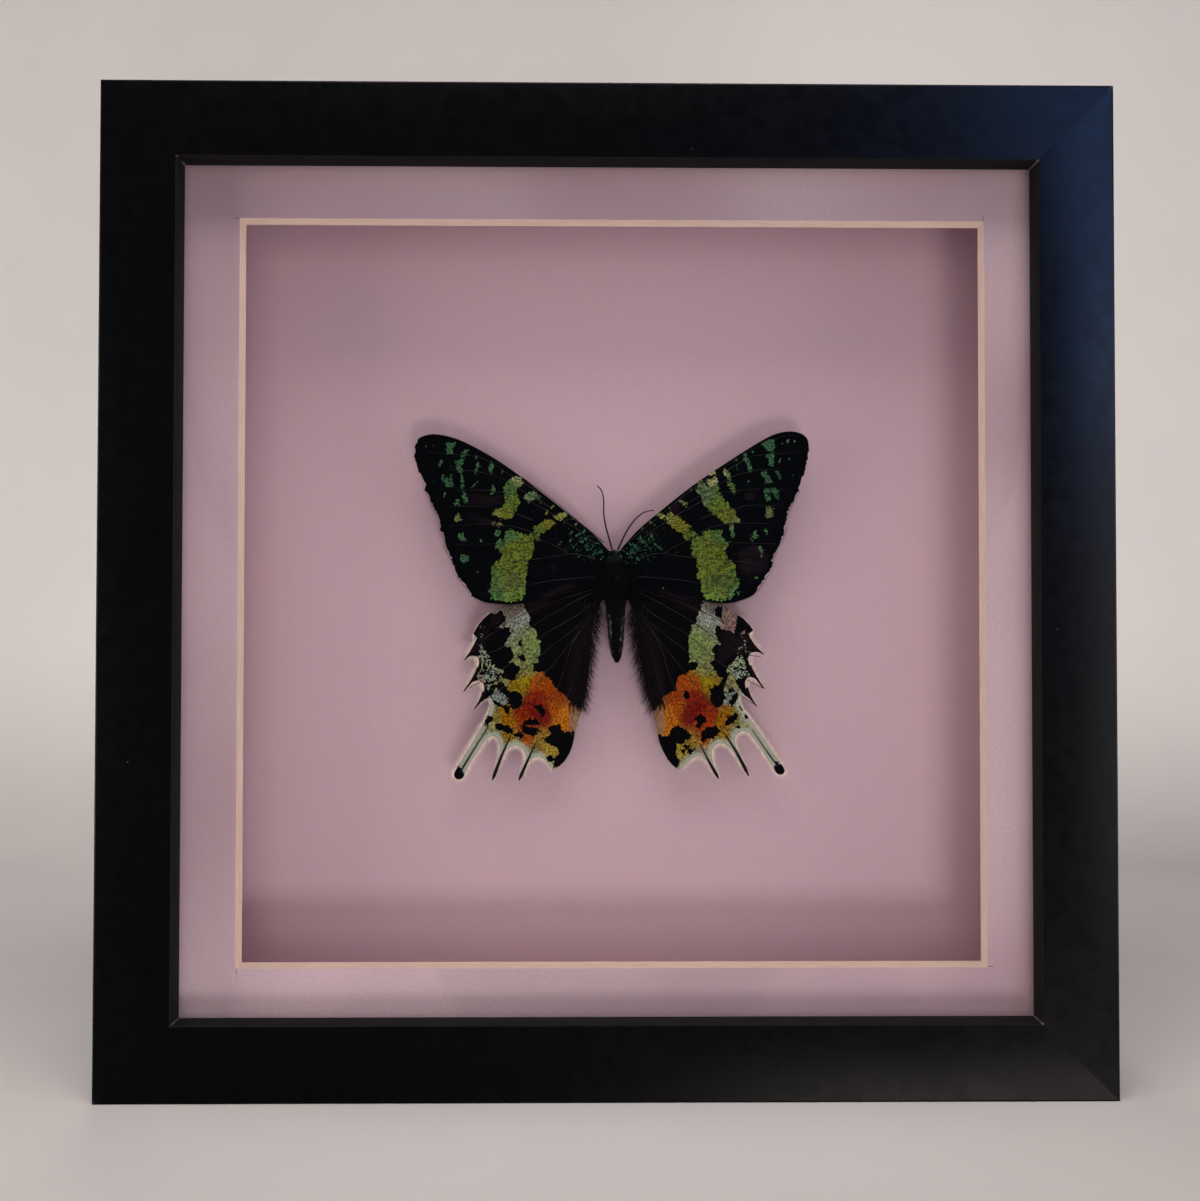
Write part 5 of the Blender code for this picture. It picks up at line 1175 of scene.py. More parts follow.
def wing_material(name, stretch, ragged, dashes, dash_colour, black, brown, shine, rub, rim_paleness):
    """Coloured scales where the pattern is positive, black ones elsewhere, brown where rubbed."""
    made, tree, shader, mm = material(name)
    read = {label: node(tree, "ShaderNodeAttribute", {"attribute_name": label})
            for label in ("pattern", "streak", "worn", "rim", "tint")}
    grain = noise(tree, mm, 0.46, 2.0)
    rows = noise(tree, mm, 0.40, 2.0, stretch)
    lumps = noise(tree, mm, 1.3, 2.0)
    uneven = maths(tree, "ADD", maths(tree, "MULTIPLY_ADD", grain, ragged, -ragged / 2),
                   maths(tree, "MULTIPLY_ADD", lumps, ragged * 0.9, -ragged * 0.45))
    edge = maths(tree, "ADD", read["pattern"].outputs["Fac"], uneven)
    cover = ramp(tree, edge, -0.06, 0.08)
    dash = maths(tree, "MULTIPLY", ramp(tree, rows, 0.53, 0.66), dashes)
    bright = blend(tree, ramp(tree, grain, 0.32, 0.70), srgb("#8c8c8c"), srgb("#ffffff"))
    scales = blend(tree, 1.0, read["tint"].outputs["Color"], bright, "MULTIPLY")
    scales = blend(tree, dash, scales, dash_colour)
    rubbed = maths(tree, "MULTIPLY", read["worn"].outputs["Fac"], ramp(tree, rows, 0.40, 0.62))
    ground = blend(tree, read["worn"].outputs["Fac"], black, brown)
    ground = blend(tree, maths(tree, "MULTIPLY", rubbed, rub), ground, srgb("#43323a"))
    stray = maths(tree, "MULTIPLY", specks(tree, mm, 1.5, 0.22, 0.16), 0.7)
    ground = blend(tree, stray, ground, srgb("#3a4440"))
    colour = blend(tree, cover, ground, scales)
    on_colour = maths(tree, "MULTIPLY", cover, 0.35)
    colour = blend(tree, maths(tree, "MULTIPLY", rubbed, on_colour), colour, srgb("#6a5048"))
    near_rim = ramp(tree, read["rim"].outputs["Fac"], 0.3, 1.5, rim_paleness, 0.0)
    colour = blend(tree, maths(tree, "MULTIPLY", near_rim, cover), colour, srgb("#a9ad9f"))
    thin = ramp(tree, maths(tree, "ADD", read["streak"].outputs["Fac"],
                            maths(tree, "MULTIPLY_ADD", grain, 0.7, -0.38)), -0.06, 0.06)
    colour = blend(tree, thin, colour, scales)
    finish_shader(tree, shader, Base_Color=colour, Roughness=ramp(tree, grain, 0.3, 0.7, 0.5, 0.68),
                  Specular_IOR_Level=ramp(tree, cover, 0.0, 1.0, 0.02, shine))
    relief(tree, shader, maths(tree, "ADD", grain, maths(tree, "MULTIPLY", rows, 0.8)), 0.03, 0.5)
    return made


forewing_scales = wing_material("black_and_green_wing_scales", (3.6, 1.0, 0.5), 1.5, 0.9, srgb("#10160a"),
                                srgb("#020305"), srgb("#0b050a"), 0.08, 0.16, 0.0)
hindwing_scales = wing_material("painted_hindwing_scales", (0.8, 1.0, 0.9), 1.3, 0.65, srgb("#48140a"),
                                srgb("#040305"), srgb("#10080b"), 0.06, 0.07, 0.75)
for name, wing in wings.items():
    wing.data.materials.append(forewing_scales if name.startswith("forewing") else hindwing_scales)

# %% [markdown]
# ## Tubes by Geometry Nodes
#
# A vein, a feeler and a tail's dark midrib are all a thin round thing along a line. One node tree
# does them all: it turns guide edges into curves, gives each point the width stored on it, and
# sweeps a small circle along. The grown mesh is kept and the modifier is removed.

# %% The sweep tree, and the function that runs a tree


def new_tree(name, inputs):
    """An empty geometry tree with named inputs after its geometry."""
    tree = bpy.data.node_groups.new(name, "GeometryNodeTree")
    tree.interface.new_socket("Geometry", in_out="INPUT", socket_type="NodeSocketGeometry")
    for label, kind in inputs:
        tree.interface.new_socket(label, in_out="INPUT", socket_type=kind)
    tree.interface.new_socket("Geometry", in_out="OUTPUT", socket_type="NodeSocketGeometry")
    return tree, node(tree, "NodeGroupInput"), node(tree, "NodeGroupOutput")


def named(tree, label, kind="FLOAT"):
    """An attribute of the guide, read by its name."""
    return node(tree, "GeometryNodeInputNamedAttribute", {"data_type": kind}, {"Name": label}).outputs[0]


def sweep_tree():
    """Guide edges to tapering tubes."""
    tree, given, made = new_tree("sweep_along_lines", [("Material", "NodeSocketMaterial")])
    curves = node(tree, "GeometryNodeMeshToCurve", None, {0: given.outputs["Geometry"]})
    ring = node(tree, "GeometryNodeCurvePrimitiveCircle", None, {"Resolution": 7, "Radius": 1.0})
    tubes = node(tree, "GeometryNodeCurveToMesh", None,
                 {"Curve": curves, "Profile Curve": ring.outputs[0], "Scale": named(tree, "half_width"),
                  "Fill Caps": True})
    soft = node(tree, "GeometryNodeSetShadeSmooth", None, {0: tubes})
    solid = node(tree, "GeometryNodeRealizeInstances", None, {0: soft})
    coated = node(tree, "GeometryNodeSetMaterial", None,
                  {"Geometry": solid, "Material": given.outputs["Material"]})
    tree.links.new(coated.outputs[0], made.inputs[0])
    return tree


def grow(name, guide, tree, settings):
    """Runs a tree on a guide object, keeps the plain mesh that it grows and removes the guide."""
    modifier = guide.modifiers.new("grow", "NODES")
    modifier.node_group = tree
    for item in tree.interface.items_tree:
        if item.in_out == "INPUT" and item.name in settings:
            modifier[item.identifier] = settings[item.name]
    bpy.context.view_layer.update()
    grown = guide.evaluated_get(bpy.context.evaluated_depsgraph_get())
    mesh = bpy.data.meshes.new_from_object(grown)
    mesh.name = name
    bpy.data.objects.remove(guide)
    piece = bpy.data.objects.new(name, mesh)
    scene.collection.objects.link(piece)
    return piece


def guide_lines(name, lines, **attributes):
    """A guide of edges: lines of points in the moth's millimetres, with values for each point."""
    points, edges = [], []
    for line in lines:
        first = len(points)
        points += list(line)
        edges += [(first + i, first + i + 1) for i in range(len(line) - 1)]
    mesh = bpy.data.meshes.new(name)
    mesh.from_pydata([tuple(p) for p in metres(points, pinned=True)], edges, [])
    for label, values in attributes.items():
        values = np.asarray(values, np.float32)
        kind = "FLOAT_VECTOR" if values.ndim == 2 else "FLOAT"
        held = mesh.attributes.new(label, kind, "POINT")
        held.data.foreach_set("vector" if values.ndim == 2 else "value", values.ravel())
    made = bpy.data.objects.new(name, mesh)
    scene.collection.objects.link(made)
    return made


def tapered(lines, start, end):
    """Half widths in metres that go from start to end along each line."""
    return [(start + (end - start) * i / max(1, len(line) - 1)) * MM
            for line in lines for i in range(len(line))]


sweep_lines = sweep_tree()

# %% Veins on all four wings
vein_skin, tree, shader, mm = material("dry_brown_vein")
# Veins keep a few dark scales, so the bare brown shows only in stretches.
bare = ramp(tree, noise(tree, mm, 2.6, 3.0), 0.45, 0.62)
stripe = node(tree, "ShaderNodeAttribute", {"attribute_name": "coloured"})
brown = blend(tree, bare, srgb("#0a0608"), srgb("#2a2023"))
finish_shader(tree, shader, Base_Color=blend(tree, stripe.outputs["Fac"], brown, srgb("#20140f")),
              Roughness=0.5, Specular_IOR_Level=0.25)
dark_vein, tree, shader, mm = material("black_scaled_midrib")
finish_shader(tree, shader, Base_Color=blend(tree, noise(tree, mm, 0.5), srgb("#030203"), srgb("#0e0a0b")),
              Roughness=0.6, Specular_IOR_Level=0.2)

spike_skin, tree, shader, mm = material("dark_brown_wing_point")
finish_shader(tree, shader, Base_Color=blend(tree, noise(tree, mm, 0.5), srgb("#0a0507"), srgb("#1c1013")),
              Roughness=0.7, Specular_IOR_Level=0.05)


def on_wing(name, line, step, proud):
    """A line on a wing's front, lifted to its surface."""
    depth = 0.0 if name.startswith("forewing") else HINDWING_D
    run = smooth_run(line, step) + [Vector(line[-1])]
    return [(p.x, depth - float(arch(p.x)) - 0.10 - THIN + proud, p.y) for p in run]


for name in OUTLINES:
    fore = name.startswith("forewing")
    lines = [on_wing(name, line, 0.8, 0.02) for line in veins_of(name)]
    widths = tapered(lines, 0.10, 0.04) if fore else tapered(lines, 0.10, 0.07)
    spots = np.array([(x, z) for line in lines for x, _, z in line])
    coloured = np.clip(pattern_at(name, spots) * 4 + 0.5, 0.0, 1.0) * (0.55 if fore else 1.0)
    veins = grow(f"{name}_veins", guide_lines("guide", lines, half_width=widths, coloured=coloured),
                 sweep_lines, {"Material": vein_skin})
    keep(veins, "moth_forewing" if fore else "moth_hindwing")
    if name in MIDRIBS:
        lines = [on_wing(name, line, 0.6, 0.12) for line in MIDRIBS[name]]
        # Each swells towards its end and closes to a point; the last one runs into the tail's dark club.
        shares = [np.linspace(0.0, 1.0, len(line)) for line in lines]
        swell = [(0.09 + full * np.minimum(share * 1.3, 1.0)) * np.minimum(6.0 * (1.0 - share) + closed, 1.0)
                 for share, full, closed in zip(shares, (0.34, 0.32, 0.11), (0.15, 0.15, 1.0))]
        ribs = grow(f"{name}_midribs", guide_lines("guide", lines, half_width=MM * np.concatenate(swell)),
                    sweep_lines, {"Material": dark_vein})
        keep(ribs, "moth_hindwing")
        lines = [on_wing(name, line, 0.4, -0.06) for line in SPIKES[name]]
        spikes = grow(f"{name}_spikes", guide_lines("guide", lines, half_width=tapered(lines, 0.50, 0.12)),
                      sweep_lines, {"Material": spike_skin})
        keep(spikes, "moth_hindwing")

# %% [markdown]
# ## Hair and fringe
#
# The hindwings' scalloped edges carry a fringe of pale hair-like scales, their inner edges long
# brown hair, and the thorax short fur. Particle hair would look right but isn't kept by exports,
# so each hair is a small bent cone that Geometry Nodes sets along a guide line or over a surface.
# The guide carries which way the hair leans and how long it is.

# %% Trees that set hair along a line and over a surface


def hair_on(tree, points, given):
    """Instances a bent, pointed hair on points, leaning as their lean says, and makes them plain mesh."""
    bow = node(tree, "GeometryNodeCurvePrimitiveBezierSegment", None,
               {"Resolution": 3, "Start": (0, 0, 0), "Start Handle": (0.0, 0.0, 0.35),
                "End Handle": (0.10, 0.0, 0.7), "End": (0.22, 0.0, 1.0)})
    along = node(tree, "GeometryNodeSplineParameter")
    taper = node(tree, "ShaderNodeMapRange", None,
                 {"Value": along.outputs["Factor"], "From Min": 0.0, "From Max": 1.0,
                  "To Min": 1.0, "To Max": 0.12})
    width = maths(tree, "MULTIPLY", taper, given.outputs["Slenderness"])
    ring = node(tree, "GeometryNodeCurvePrimitiveCircle", None, {"Resolution": 3, "Radius": 1.0})
    strand = node(tree, "GeometryNodeCurveToMesh", None,
                  {"Curve": bow, "Profile Curve": ring.outputs[0], "Scale": width})
    stray = node(tree, "FunctionNodeRandomValue", {"data_type": "FLOAT_VECTOR"},
                 {0: (-1.0, -1.0, -1.0), 1: (1.0, 1.0, 1.0), "Seed": given.outputs["Seed"]})
    spread = node(tree, "ShaderNodeVectorMath", {"operation": "SCALE"},
                  {0: stray.outputs[0], "Scale": given.outputs["Spread"]})
    lean = node(tree, "ShaderNodeVectorMath", {"operation": "ADD"},
                {0: named(tree, "lean", "FLOAT_VECTOR"), 1: spread})
    aimed = node(tree, "FunctionNodeAlignRotationToVector", {"axis": "Z"}, {"Vector": lean.outputs[0]})
    turn = node(tree, "FunctionNodeRandomValue", {"data_type": "FLOAT"},
                {2: 0.0, 3: 6.283, "Seed": given.outputs["Seed"]})
    spin = node(tree, "FunctionNodeAxisAngleToRotation", None,
                {"Axis": (0.0, 0.0, 1.0), "Angle": turn.outputs[1]})
    turned = node(tree, "FunctionNodeRotateRotation", {"rotation_space": "LOCAL"}, {0: aimed, 1: spin})
    vary = node(tree, "FunctionNodeRandomValue", {"data_type": "FLOAT"},
                {2: 0.65, 3: 1.1, "Seed": given.outputs["Seed"]})
    size = maths(tree, "MULTIPLY", named(tree, "length"), vary.outputs[1])
    hairs = node(tree, "GeometryNodeInstanceOnPoints", None,
                 {"Points": points, "Instance": strand, "Rotation": turned, "Scale": size})
    return node(tree, "GeometryNodeRealizeInstances", None, {0: hairs})


HAIR_INPUTS = [("Spacing", "NodeSocketFloat"), ("Slenderness", "NodeSocketFloat"),
               ("Spread", "NodeSocketFloat"), ("Seed", "NodeSocketInt"), ("Material", "NodeSocketMaterial")]


def hair_tree(name, over_surface):
    """Hair along guide lines, Spacing apart, or over a surface with about one hair per Spacing squared."""
    tree, given, made = new_tree(name, HAIR_INPUTS)
    if over_surface:
        area = maths(tree, "MULTIPLY", given.outputs["Spacing"], given.outputs["Spacing"])
        density = maths(tree, "DIVIDE", 1.0, area)
        spots = node(tree, "GeometryNodeDistributePointsOnFaces", None,
                     {"Mesh": given.outputs["Geometry"], "Density": density, "Seed": given.outputs["Seed"]})
        points = spots.outputs[0]
    else:
        curves = node(tree, "GeometryNodeMeshToCurve", None, {0: given.outputs["Geometry"]})
        points = node(tree, "GeometryNodeResampleCurve", {"mode": "LENGTH"},
                      {"Curve": curves, "Length": given.outputs["Spacing"]})
    solid = hair_on(tree, points, given)
    coated = node(tree, "GeometryNodeSetMaterial", None,
                  {"Geometry": solid, "Material": given.outputs["Material"]})
    tree.links.new(coated.outputs[0], made.inputs[0])
    return tree


hair_along = hair_tree("hair_along_lines", False)
hair_over = hair_tree("fur_over_surface", True)


def hair_settings(spacing, slenderness, spread, seed, finish):
    """What a hair tree is given, with the spacing in millimetres."""
    return {"Spacing": spacing * MM, "Slenderness": slenderness, "Spread": spread, "Seed": seed,
            "Material": finish}


def hair_rows(name, lines, leans, lengths, *settings):
    """Grows hair along guide lines, with a lean and a length for each of their points."""
    guide = guide_lines("guide", lines, lean=leans, length=lengths)
    return grow(name, guide, hair_along, hair_settings(*settings))


def hair_material(name, root, tip):
    """Dry matt hair, its colour a little different from lock to lock."""
    made, tree, shader, mm = material(name)
    locks = noise(tree, mm, 0.7, 2.0, (0.6, 1.0, 2.0))
    finish_shader(tree, shader, Base_Color=blend(tree, ramp(tree, locks, 0.3, 0.7), srgb(root), srgb(tip)),
                  Roughness=0.8, Specular_IOR_Level=0.08)
    return made


fringe_hair = hair_material("pale_fringe_hair", "#d8bfb0", "#f4e0d4")
brown_hair = hair_material("long_brown_hair", "#050304", "#20161a")
tan_hair = hair_material("tan_inner_hair", "#9a6c4a", "#cfa280")
black_fur = hair_material("short_black_fur", "#010102", "#07070a")
pale_scales = hair_material("greenish_grey_scales", "#141a16", "#8c958a")
edge_hair = hair_material("dark_margin_scales", "#0b090c", "#1c1619")

# %% Pale fringe of the hindwings and short dark fringe of the forewings
# Millimetres from the membrane's edge to the hairs' roots
OUTSIDE = 0.10


def fringe_guides(name, wanted, step, beyond=0.0):
    """Edge lines that carry hair past x = beyond, and which way it leans and how long it is."""
    area = 0.0
    whole = [p for _, run in OUTLINES[name] for p in smooth_run(run, 1.0)]
    for a, b in zip(whole, whole[1:] + whole[:1]):
        area += a.x * b.y - b.x * a.y
    turn = 1.0 if area > 0 else -1.0
    lines, leans, lengths = [], [], []
    for reach, run in OUTLINES[name]:
        length = wanted(reach, run)
        if not length:
            continue
        curve = smooth_run(run, step) + [Vector(run[-1])]
        flat = [(p.x, p.y) for p in curve if abs(p.x) > beyond]
        lines.append(on_wing(name, flat, step, 0.12 + THIN))
        count = len(lines[-1])
        settled = list(lines[-1])
        for i in range(count):
            a = lines[-1][max(0, i - 1)]
            b = lines[-1][min(count - 1, i + 1)]
            along = Vector((b[0] - a[0], b[2] - a[2])).normalized()
            out = Vector((along.y, -along.x)) * turn
            x, y, z = lines[-1][i]
            settled[i] = (x + OUTSIDE * out.x, y, z + OUTSIDE * out.y)
            leans.append((out.x, 0.0, out.y))
            ease = min(1.0, 0.45 + 2.2 * min(i, count - 1 - i) / count)
            lengths.append(length * ease * MM)
        lines[-1] = settled
    return lines, leans, lengths


for name in OUTLINES:
    if name.startswith("hindwing"):
        lines, leans, lengths = fringe_guides(name, lambda reach, run: reach * 1.3, 0.5)
        # The front edge has a short fringe too, but only out where no forewing covers it.
        upper = fringe_guides(name, lambda reach, run: 0.4 if run[0][1] > -2.0 and not reach else 0.0,
                              0.5, 29.0)
        lines, leans, lengths = lines + upper[0], leans + upper[1], lengths + upper[2]
        fringe = hair_rows(f"{name}_fringe", lines, leans, lengths, 0.055, 0.06, 0.14, 3, fringe_hair)
        keep(fringe, "moth_hindwing")
    else:
        lines, leans, lengths = fringe_guides(name, lambda reach, run: 0.42 if abs(run[0][0]) > 30 else 0.0,
                                              0.5)
        fringe = hair_rows(f"{name}_margin", lines, leans, lengths, 0.16, 0.16, 0.35, 4, edge_hair)
        keep(fringe, "moth_forewing")
    print(fringe.name, len(fringe.data.polygons), "faces")

# %% [markdown]
# ## Long hair on the inner edges
#
# From the root of each hindwing long hair flows down its inner edge and over it, so the wing has no
# hard border towards the body. It is set in rows: each row starts a little further from the edge.

# %% Inner hair, in rows
INNER_EDGE = {
    "hindwing_left": (
        (-4.6, -5.0), (-5.2, -9.0), (-5.9, -13.0), (-6.6, -18.0), (-7.2, -23.0), (-7.9, -28.0),
        (-8.6, -31.0),
    ),
    "hindwing_right": (
        (4.5, -6.0), (4.9, -9.0), (5.4, -13.0), (6.0, -18.0), (6.9, -23.0), (8.2, -28.0), (9.2, -31.0),
    ),
}
TAN_EDGE = {
    "hindwing_left": ((-10.6, -31.0), (-10.6, -33.0), (-10.8, -35.6)),
    "hindwing_right": ((10.8, -31.0), (11.2, -33.0), (11.4, -35.8)),
}
# For each row: how far from the edge it starts, how long its hair is and how much it slants
HAIR_ROWS = ((0.5, 2.6, 0.34), (1.0, 3.2, 0.32), (1.8, 3.4, 0.26), (2.8, 3.0, 0.16))
for name, edge in INNER_EDGE.items():
    side = -1.0 if name.endswith("left") else 1.0
    lines, leans, lengths = [], [], []
    for row, (outward, length, slant) in enumerate(HAIR_ROWS):
        shifted = [(x + side * outward, z) for x, z in edge]
        line = on_wing(name, shifted, 1.0, -0.02 * row)
        lines.append(line)
        for i in range(len(line)):
            leans.append((-side * slant, -0.05, -0.9))
            share = i / (len(line) - 1)
            lengths.append(length * (0.55 + 0.45 * min(1.0, share * 3)) * (1.0 - 0.25 * share) * MM)
    hair = hair_rows(f"{name}_inner_hair", lines, leans, lengths, 0.085, 0.018, 0.24, 7, brown_hair)
    keep(hair, "moth_hindwing")
    lines = [on_wing(name, [(x + side * outward, z) for x, z in edge], 0.8, 0.02)
             for outward in (-0.5, 0.1, 0.6)]
    leans = [(-side * 0.46, -0.08, -0.9)] * sum(len(line) for line in lines)
    lengths = [(4.6 - 1.2 * i / len(line)) * MM for line in lines for i in range(len(line))]
    locks = hair_rows(f"{name}_locks", lines, leans, lengths, 0.17, 0.018, 0.20, 9, brown_hair)
    keep(locks, "moth_hindwing")
    lines, leans, lengths = [], [], []
    for outward in (-0.4, 0.2, 0.8):
        line = on_wing(name, [(x + side * (outward - 0.3), z) for x, z in TAN_EDGE[name]], 1.0, -0.04)
        lines.append(line)
        leans += [(-side * 0.4, -0.04, -0.9)] * len(line)
        lengths += [2.3 * MM] * len(line)
    tan = hair_rows(f"{name}_tan_hair", lines, leans, lengths, 0.12, 0.03, 0.16, 8, tan_hair)
    keep(tan, "moth_hindwing")
    print(hair.name, len(hair.data.polygons), tan.name, len(tan.data.polygons))

# %% [markdown]
# ## The body
#
# Head, thorax and abdomen are one piece: a small head with round eyes, a broad thorax that holds the
# wing muscles, and a long abdomen of overlapping rings. It is built from cross-sections, close
# enough together for the rings to show, and then the thorax gets its fur.

# %% Body surface from its cross-sections
BODY_SECTIONS = (
    (7.0, -0.45, 0.12, 0.14), (6.85, -0.44, 0.50, 0.50), (6.5, -0.42, 0.95, 0.92),
    (6.0, -0.40, 1.22, 1.25), (5.5, -0.38, 1.35, 1.42), (5.0, -0.35, 1.80, 1.85),
    (4.3, -0.25, 2.45, 2.42), (3.0, -0.20, 2.90, 2.80), (1.2, -0.10, 3.10, 3.00), (-1.2, 0.0, 3.10, 3.00),
    (-3.4, 0.0, 2.80, 2.75), (-5.2, 0.0, 2.35, 2.30), (-8.0, -0.10, 2.30, 2.15), (-11.0, 0.0, 2.10, 1.95),
    (-14.0, 0.05, 1.90, 1.80), (-16.5, 0.10, 1.60, 1.55), (-18.4, 0.15, 1.25, 1.20),
    (-19.6, 0.20, 0.85, 0.80), (-20.3, 0.20, 0.45, 0.40),
)
# Where the rings start and end, the length of one, points around the body, and the body's middle
ABDOMEN_TOP = -5.2
ABDOMEN_END = -19.8
SEGMENT = 2.05
SIDES = 44
BODY_X = PIN_X + 0.05

chitin, tree, shader, mm = material("scaled_insect_skin")
where = node(tree, "ShaderNodeSeparateXYZ", None, {0: mm})
grain = noise(tree, mm, 0.28, 3.0)
out_x = maths(tree, "ABSOLUTE", maths(tree, "SUBTRACT", where.outputs["X"], BODY_X))
flank = ramp(tree, maths(tree, "ADD", out_x, maths(tree, "MULTIPLY_ADD", grain, 0.7, -0.35)), 0.95, 1.35)
low = ramp(tree, where.outputs["Z"], PIN_Z - 8.0, PIN_Z - 11.5)
pale = maths(tree, "MULTIPLY", maths(tree, "MULTIPLY", flank, low), ramp(tree, grain, 0.47, 0.58))
shoulder = ramp(tree, where.outputs["Z"], PIN_Z + 3.6, PIN_Z + 5.2)
green = maths(tree, "MULTIPLY", shoulder, ramp(tree, noise(tree, mm, 0.5, 2.0, (0.6, 1.0, 1.6)), 0.54, 0.62))
skin = blend(tree, grain, srgb("#010102"), srgb("#040507"))
skin = blend(tree, maths(tree, "MULTIPLY", pale, 0.22), skin, srgb("#5a6158"))
skin = blend(tree, maths(tree, "MULTIPLY", green, 0.6), skin, srgb("#345a48"))
finish_shader(tree, shader, Base_Color=skin, Roughness=0.6, Specular_IOR_Level=0.05)
relief(tree, shader, grain, 0.05, 0.5)

levels = [7.0, 6.95, 6.85, 6.7, 6.5, 6.25, 6.0, 5.75, 5.5, 5.25, 5.0, 4.65, 4.3, 3.6, 3.0,
          2.1, 1.2, 0.0, -1.2, -2.3, -3.4, -4.4]
swells = [1.0] * len(levels)
for number in range(int((ABDOMEN_TOP - ABDOMEN_END) / SEGMENT)):
    top = ABDOMEN_TOP - number * SEGMENT
    for share, swell in ((0.0, 0.945), (0.08, 1.0), (0.2, 1.02), (0.45, 1.015), (0.75, 1.0), (0.92, 0.985)):
        levels.append(top - share * SEGMENT)
        swells.append(swell)
levels += [ABDOMEN_END, -20.0, -20.3]
swells += [1.0, 0.8, 1.0]
sections = np.array(BODY_SECTIONS)[::-1]
turns = np.linspace(0, 2 * math.pi, SIDES, endpoint=False)
rings = []
for z, swell in zip(levels, swells):
    middle, wide, deep = (np.interp(z, sections[:, 0], sections[:, k]) for k in (1, 2, 3))
    rings.append([(middle + swell * wide * math.cos(t), 0.3 + swell * deep * math.sin(t), z) for t in turns])
points, faces = joined_rings(rings)
body = add_mesh("body_shell", metres(points, pinned=True), faces, chitin, smooth=True)
keep(body, "moth_fur", "moth_body")

# %% Eyes: many-sided domes of dark glassy facets
eye_skin, tree, shader, mm = material("faceted_dark_eye")
facets = node(tree, "ShaderNodeTexVoronoi", None, {"Vector": mm, "Scale": 9.0})
# Each facet's middle is painted a little lighter than its rim: a painted glint on every facet.
painted_facet_glint = blend(tree, ramp(tree, facets.outputs["Distance"], 0.2, 0.6), srgb("#100c0c"), srgb("#060506"))
finish_shader(tree, shader, Base_Color=painted_facet_glint, Roughness=0.45, Specular_IOR_Level=0.15)
relief(tree, shader, facets.outputs["Distance"], 0.02, 0.6)
bm = bmesh.new()
for side in (-1, 1):
    at = Matrix.Translation(Vector(metres([(side * 1.05 - 0.4, 0.3, 6.0)], pinned=True)[0]))
    oval = Matrix.Diagonal((0.95, 1.0, 1.05, 1.0))
    bmesh.ops.create_uvsphere(bm, u_segments=24, v_segments=16, radius=0.71 * MM, matrix=at @ oval)
eye_mesh = bpy.data.meshes.new("eyes")
bm.to_mesh(eye_mesh)
bm.free()
eye_mesh.shade_smooth()
eye_mesh.materials.append(eye_skin)
eyes = bpy.data.objects.new("eyes", eye_mesh)
scene.collection.objects.link(eyes)
keep(eyes, "moth_fur")

# %% Fur on the thorax, the wings' roots and the abdomen's sides


def body_guide():
    """A copy of the body to set hair on."""
    guide = body.copy()
    guide.data = body.data.copy()
    guide.parent = None
    scene.collection.objects.link(guide)
    return guide


def hair_over_body(name, guide, leans, lengths, *settings):
    """Grows hair all over a guide, with a lean and a length for each of its points."""
    for label, kind, field, values in (("lean", "FLOAT_VECTOR", "vector", leans),
                                       ("length", "FLOAT", "value", lengths)):
        held = guide.data.attributes.new(label, kind, "POINT")
        held.data.foreach_set(field, values.astype(np.float32).ravel())
    return grow(name, guide, hair_over, hair_settings(*settings))


fur_guide = body_guide()
count = len(fur_guide.data.vertices)
spots = np.zeros(count * 3)
fur_guide.data.vertices.foreach_get("co", spots)
spots = spots.reshape(-1, 3)
axis = np.array(metres([(0.0, 0.3, 0.0)], pinned=True)[0])
out = spots - axis
out[:, 2] = 0.0
out /= np.maximum(np.linalg.norm(out, axis=1), 1e-6)[:, None]
leans = out * 0.55 + np.array((0.0, 0.0, -0.8))
fur_length = 0.95 * MM * np.clip((spots[:, 2] / MM - (PIN_Z - 9.0)) / 6.0, 0.36, 1.0)
fur = hair_over_body("thorax_fur", fur_guide, leans, fur_length, 0.27, 0.05, 0.3, 11, black_fur)
keep(fur, "moth_fur")

lines, leans, lengths = [], [], []
for side in (-1.0, 1.0):
    for start, top, slant in ((2.5, 3.6, 1.0), (3.4, 3.4, 0.9), (4.3, 2.6, 0.8)):
        line = [(side * (start - 0.03 * i), -0.55, top - 0.42 * i) for i in range(21)]
        lines.append([p for p in line if p[2] > -4.8])
        for _, _, z in lines[-1]:
            leans.append((side * slant, -0.12, -0.45 - 0.09 * (top - z)))
            lengths.append((2.0 + 0.16 * (top - z)) * MM)
root_fur = hair_rows("wing_root_fur", lines, leans, lengths, 0.06, 0.03, 0.55, 17, black_fur)
keep(root_fur, "moth_fur")

body_depth = spots[:, 1].mean()


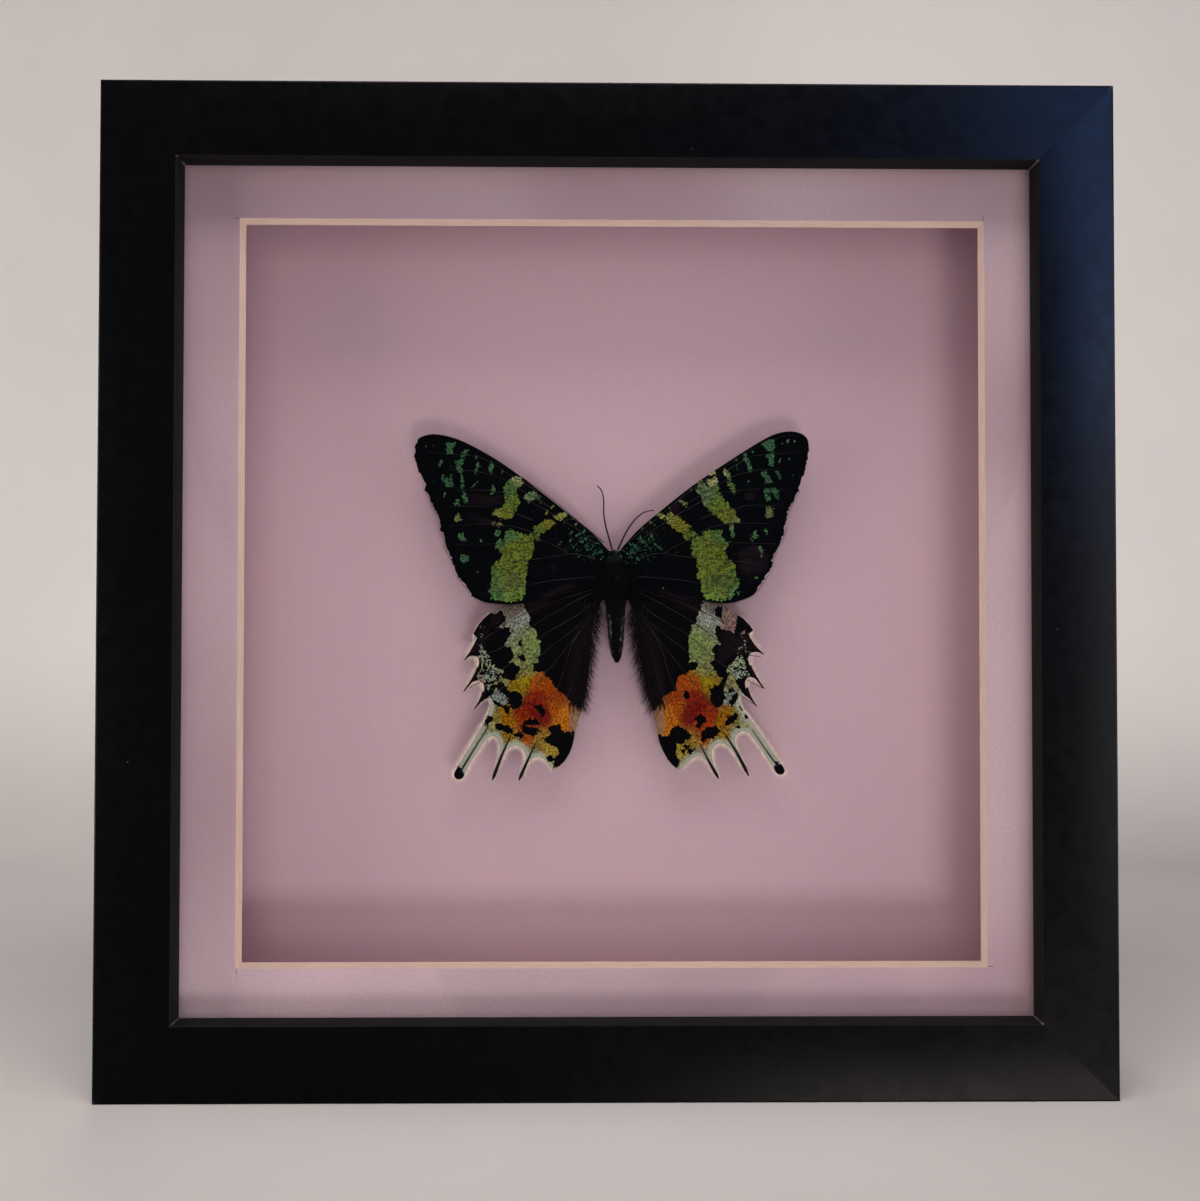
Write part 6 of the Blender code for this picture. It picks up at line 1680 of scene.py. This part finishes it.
def off_flanks(place):
    """Whether a point of the body lies outside the two front strips that carry pale scales."""
    above_end = place.z / MM - PIN_Z - ABDOMEN_END
    away = abs(place.x - BODY_X * MM)
    return (not ABDOMEN_END < place.z / MM - PIN_Z < -8.6 or place.y > body_depth
            or away < (0.45 + 0.08 * above_end) * MM or away > (0.75 + 0.115 * above_end) * MM)


flanks = body_guide()
bm = bmesh.new()
bm.from_mesh(flanks.data)
bmesh.ops.delete(bm, geom=[v for v in bm.verts if off_flanks(v.co)], context="VERTS")
bm.to_mesh(flanks.data)
bm.free()
count = len(flanks.data.vertices)
flank_scales = hair_over_body("abdomen_scales", flanks, np.tile((0.0, -0.35, -0.8), (count, 1)),
                              np.full(count, 0.55 * MM), 0.50, 0.26, 0.5, 13, pale_scales)
keep(flank_scales, "moth_fur")
print("fur faces:", len(fur.data.polygons), len(flank_scales.data.polygons))

# %% [markdown]
# ## Feelers and legs
#
# The feelers are threads of tiny joints that thin out to a point and curve with drying. They are
# swept along their measured lines like the veins. The legs are folded out of sight behind the
# body; they keep their solids.

# %% Feelers, legs
FEELERS = {
    "left": (
        (-0.95, -0.9, 6.9), (-1.7, -1.5, 9.6), (-2.5, -1.9, 12.4), (-3.0, -2.1, 15.6),
        (-3.05, -2.1, 19.2), (-3.7, -2.0, 21.3), (-4.6, -1.8, 22.2),
    ),
    "right": (
        (0.35, -0.9, 6.9), (0.8, -1.3, 7.8), (2.2, -1.8, 10.7), (4.0, -2.1, 13.5), (6.1, -2.1, 15.5),
        (7.9, -1.9, 16.2), (9.1, -1.7, 16.3),
    ),
}
limb, tree, shader, mm = material("dry_horny_limb")
finish_shader(tree, shader, Base_Color=blend(tree, noise(tree, mm, 0.4), srgb("#160a0e"), srgb("#2c1a20")),
              Roughness=0.45, Specular_IOR_Level=0.4)
relief(tree, shader, noise(tree, mm, 0.2), 0.02, 0.5)
for side, points in FEELERS.items():
    line = smooth_run(points, 0.2) + [Vector(points[-1])]
    count = len(line)
    widths = [(0.24 - 0.11 * i / count) * (1.0 + 0.10 * (i % 2)) * MM for i in range(count)]
    feeler = grow(f"feeler_{side}", guide_lines("guide", [line], half_width=widths),
                  sweep_lines, {"Material": limb})
    keep(feeler, "moth_limb", f"antenna_{side}")
    for pair in ("front", "middle", "hind"):
        dress(f"leg_{pair}_{side}", limb)
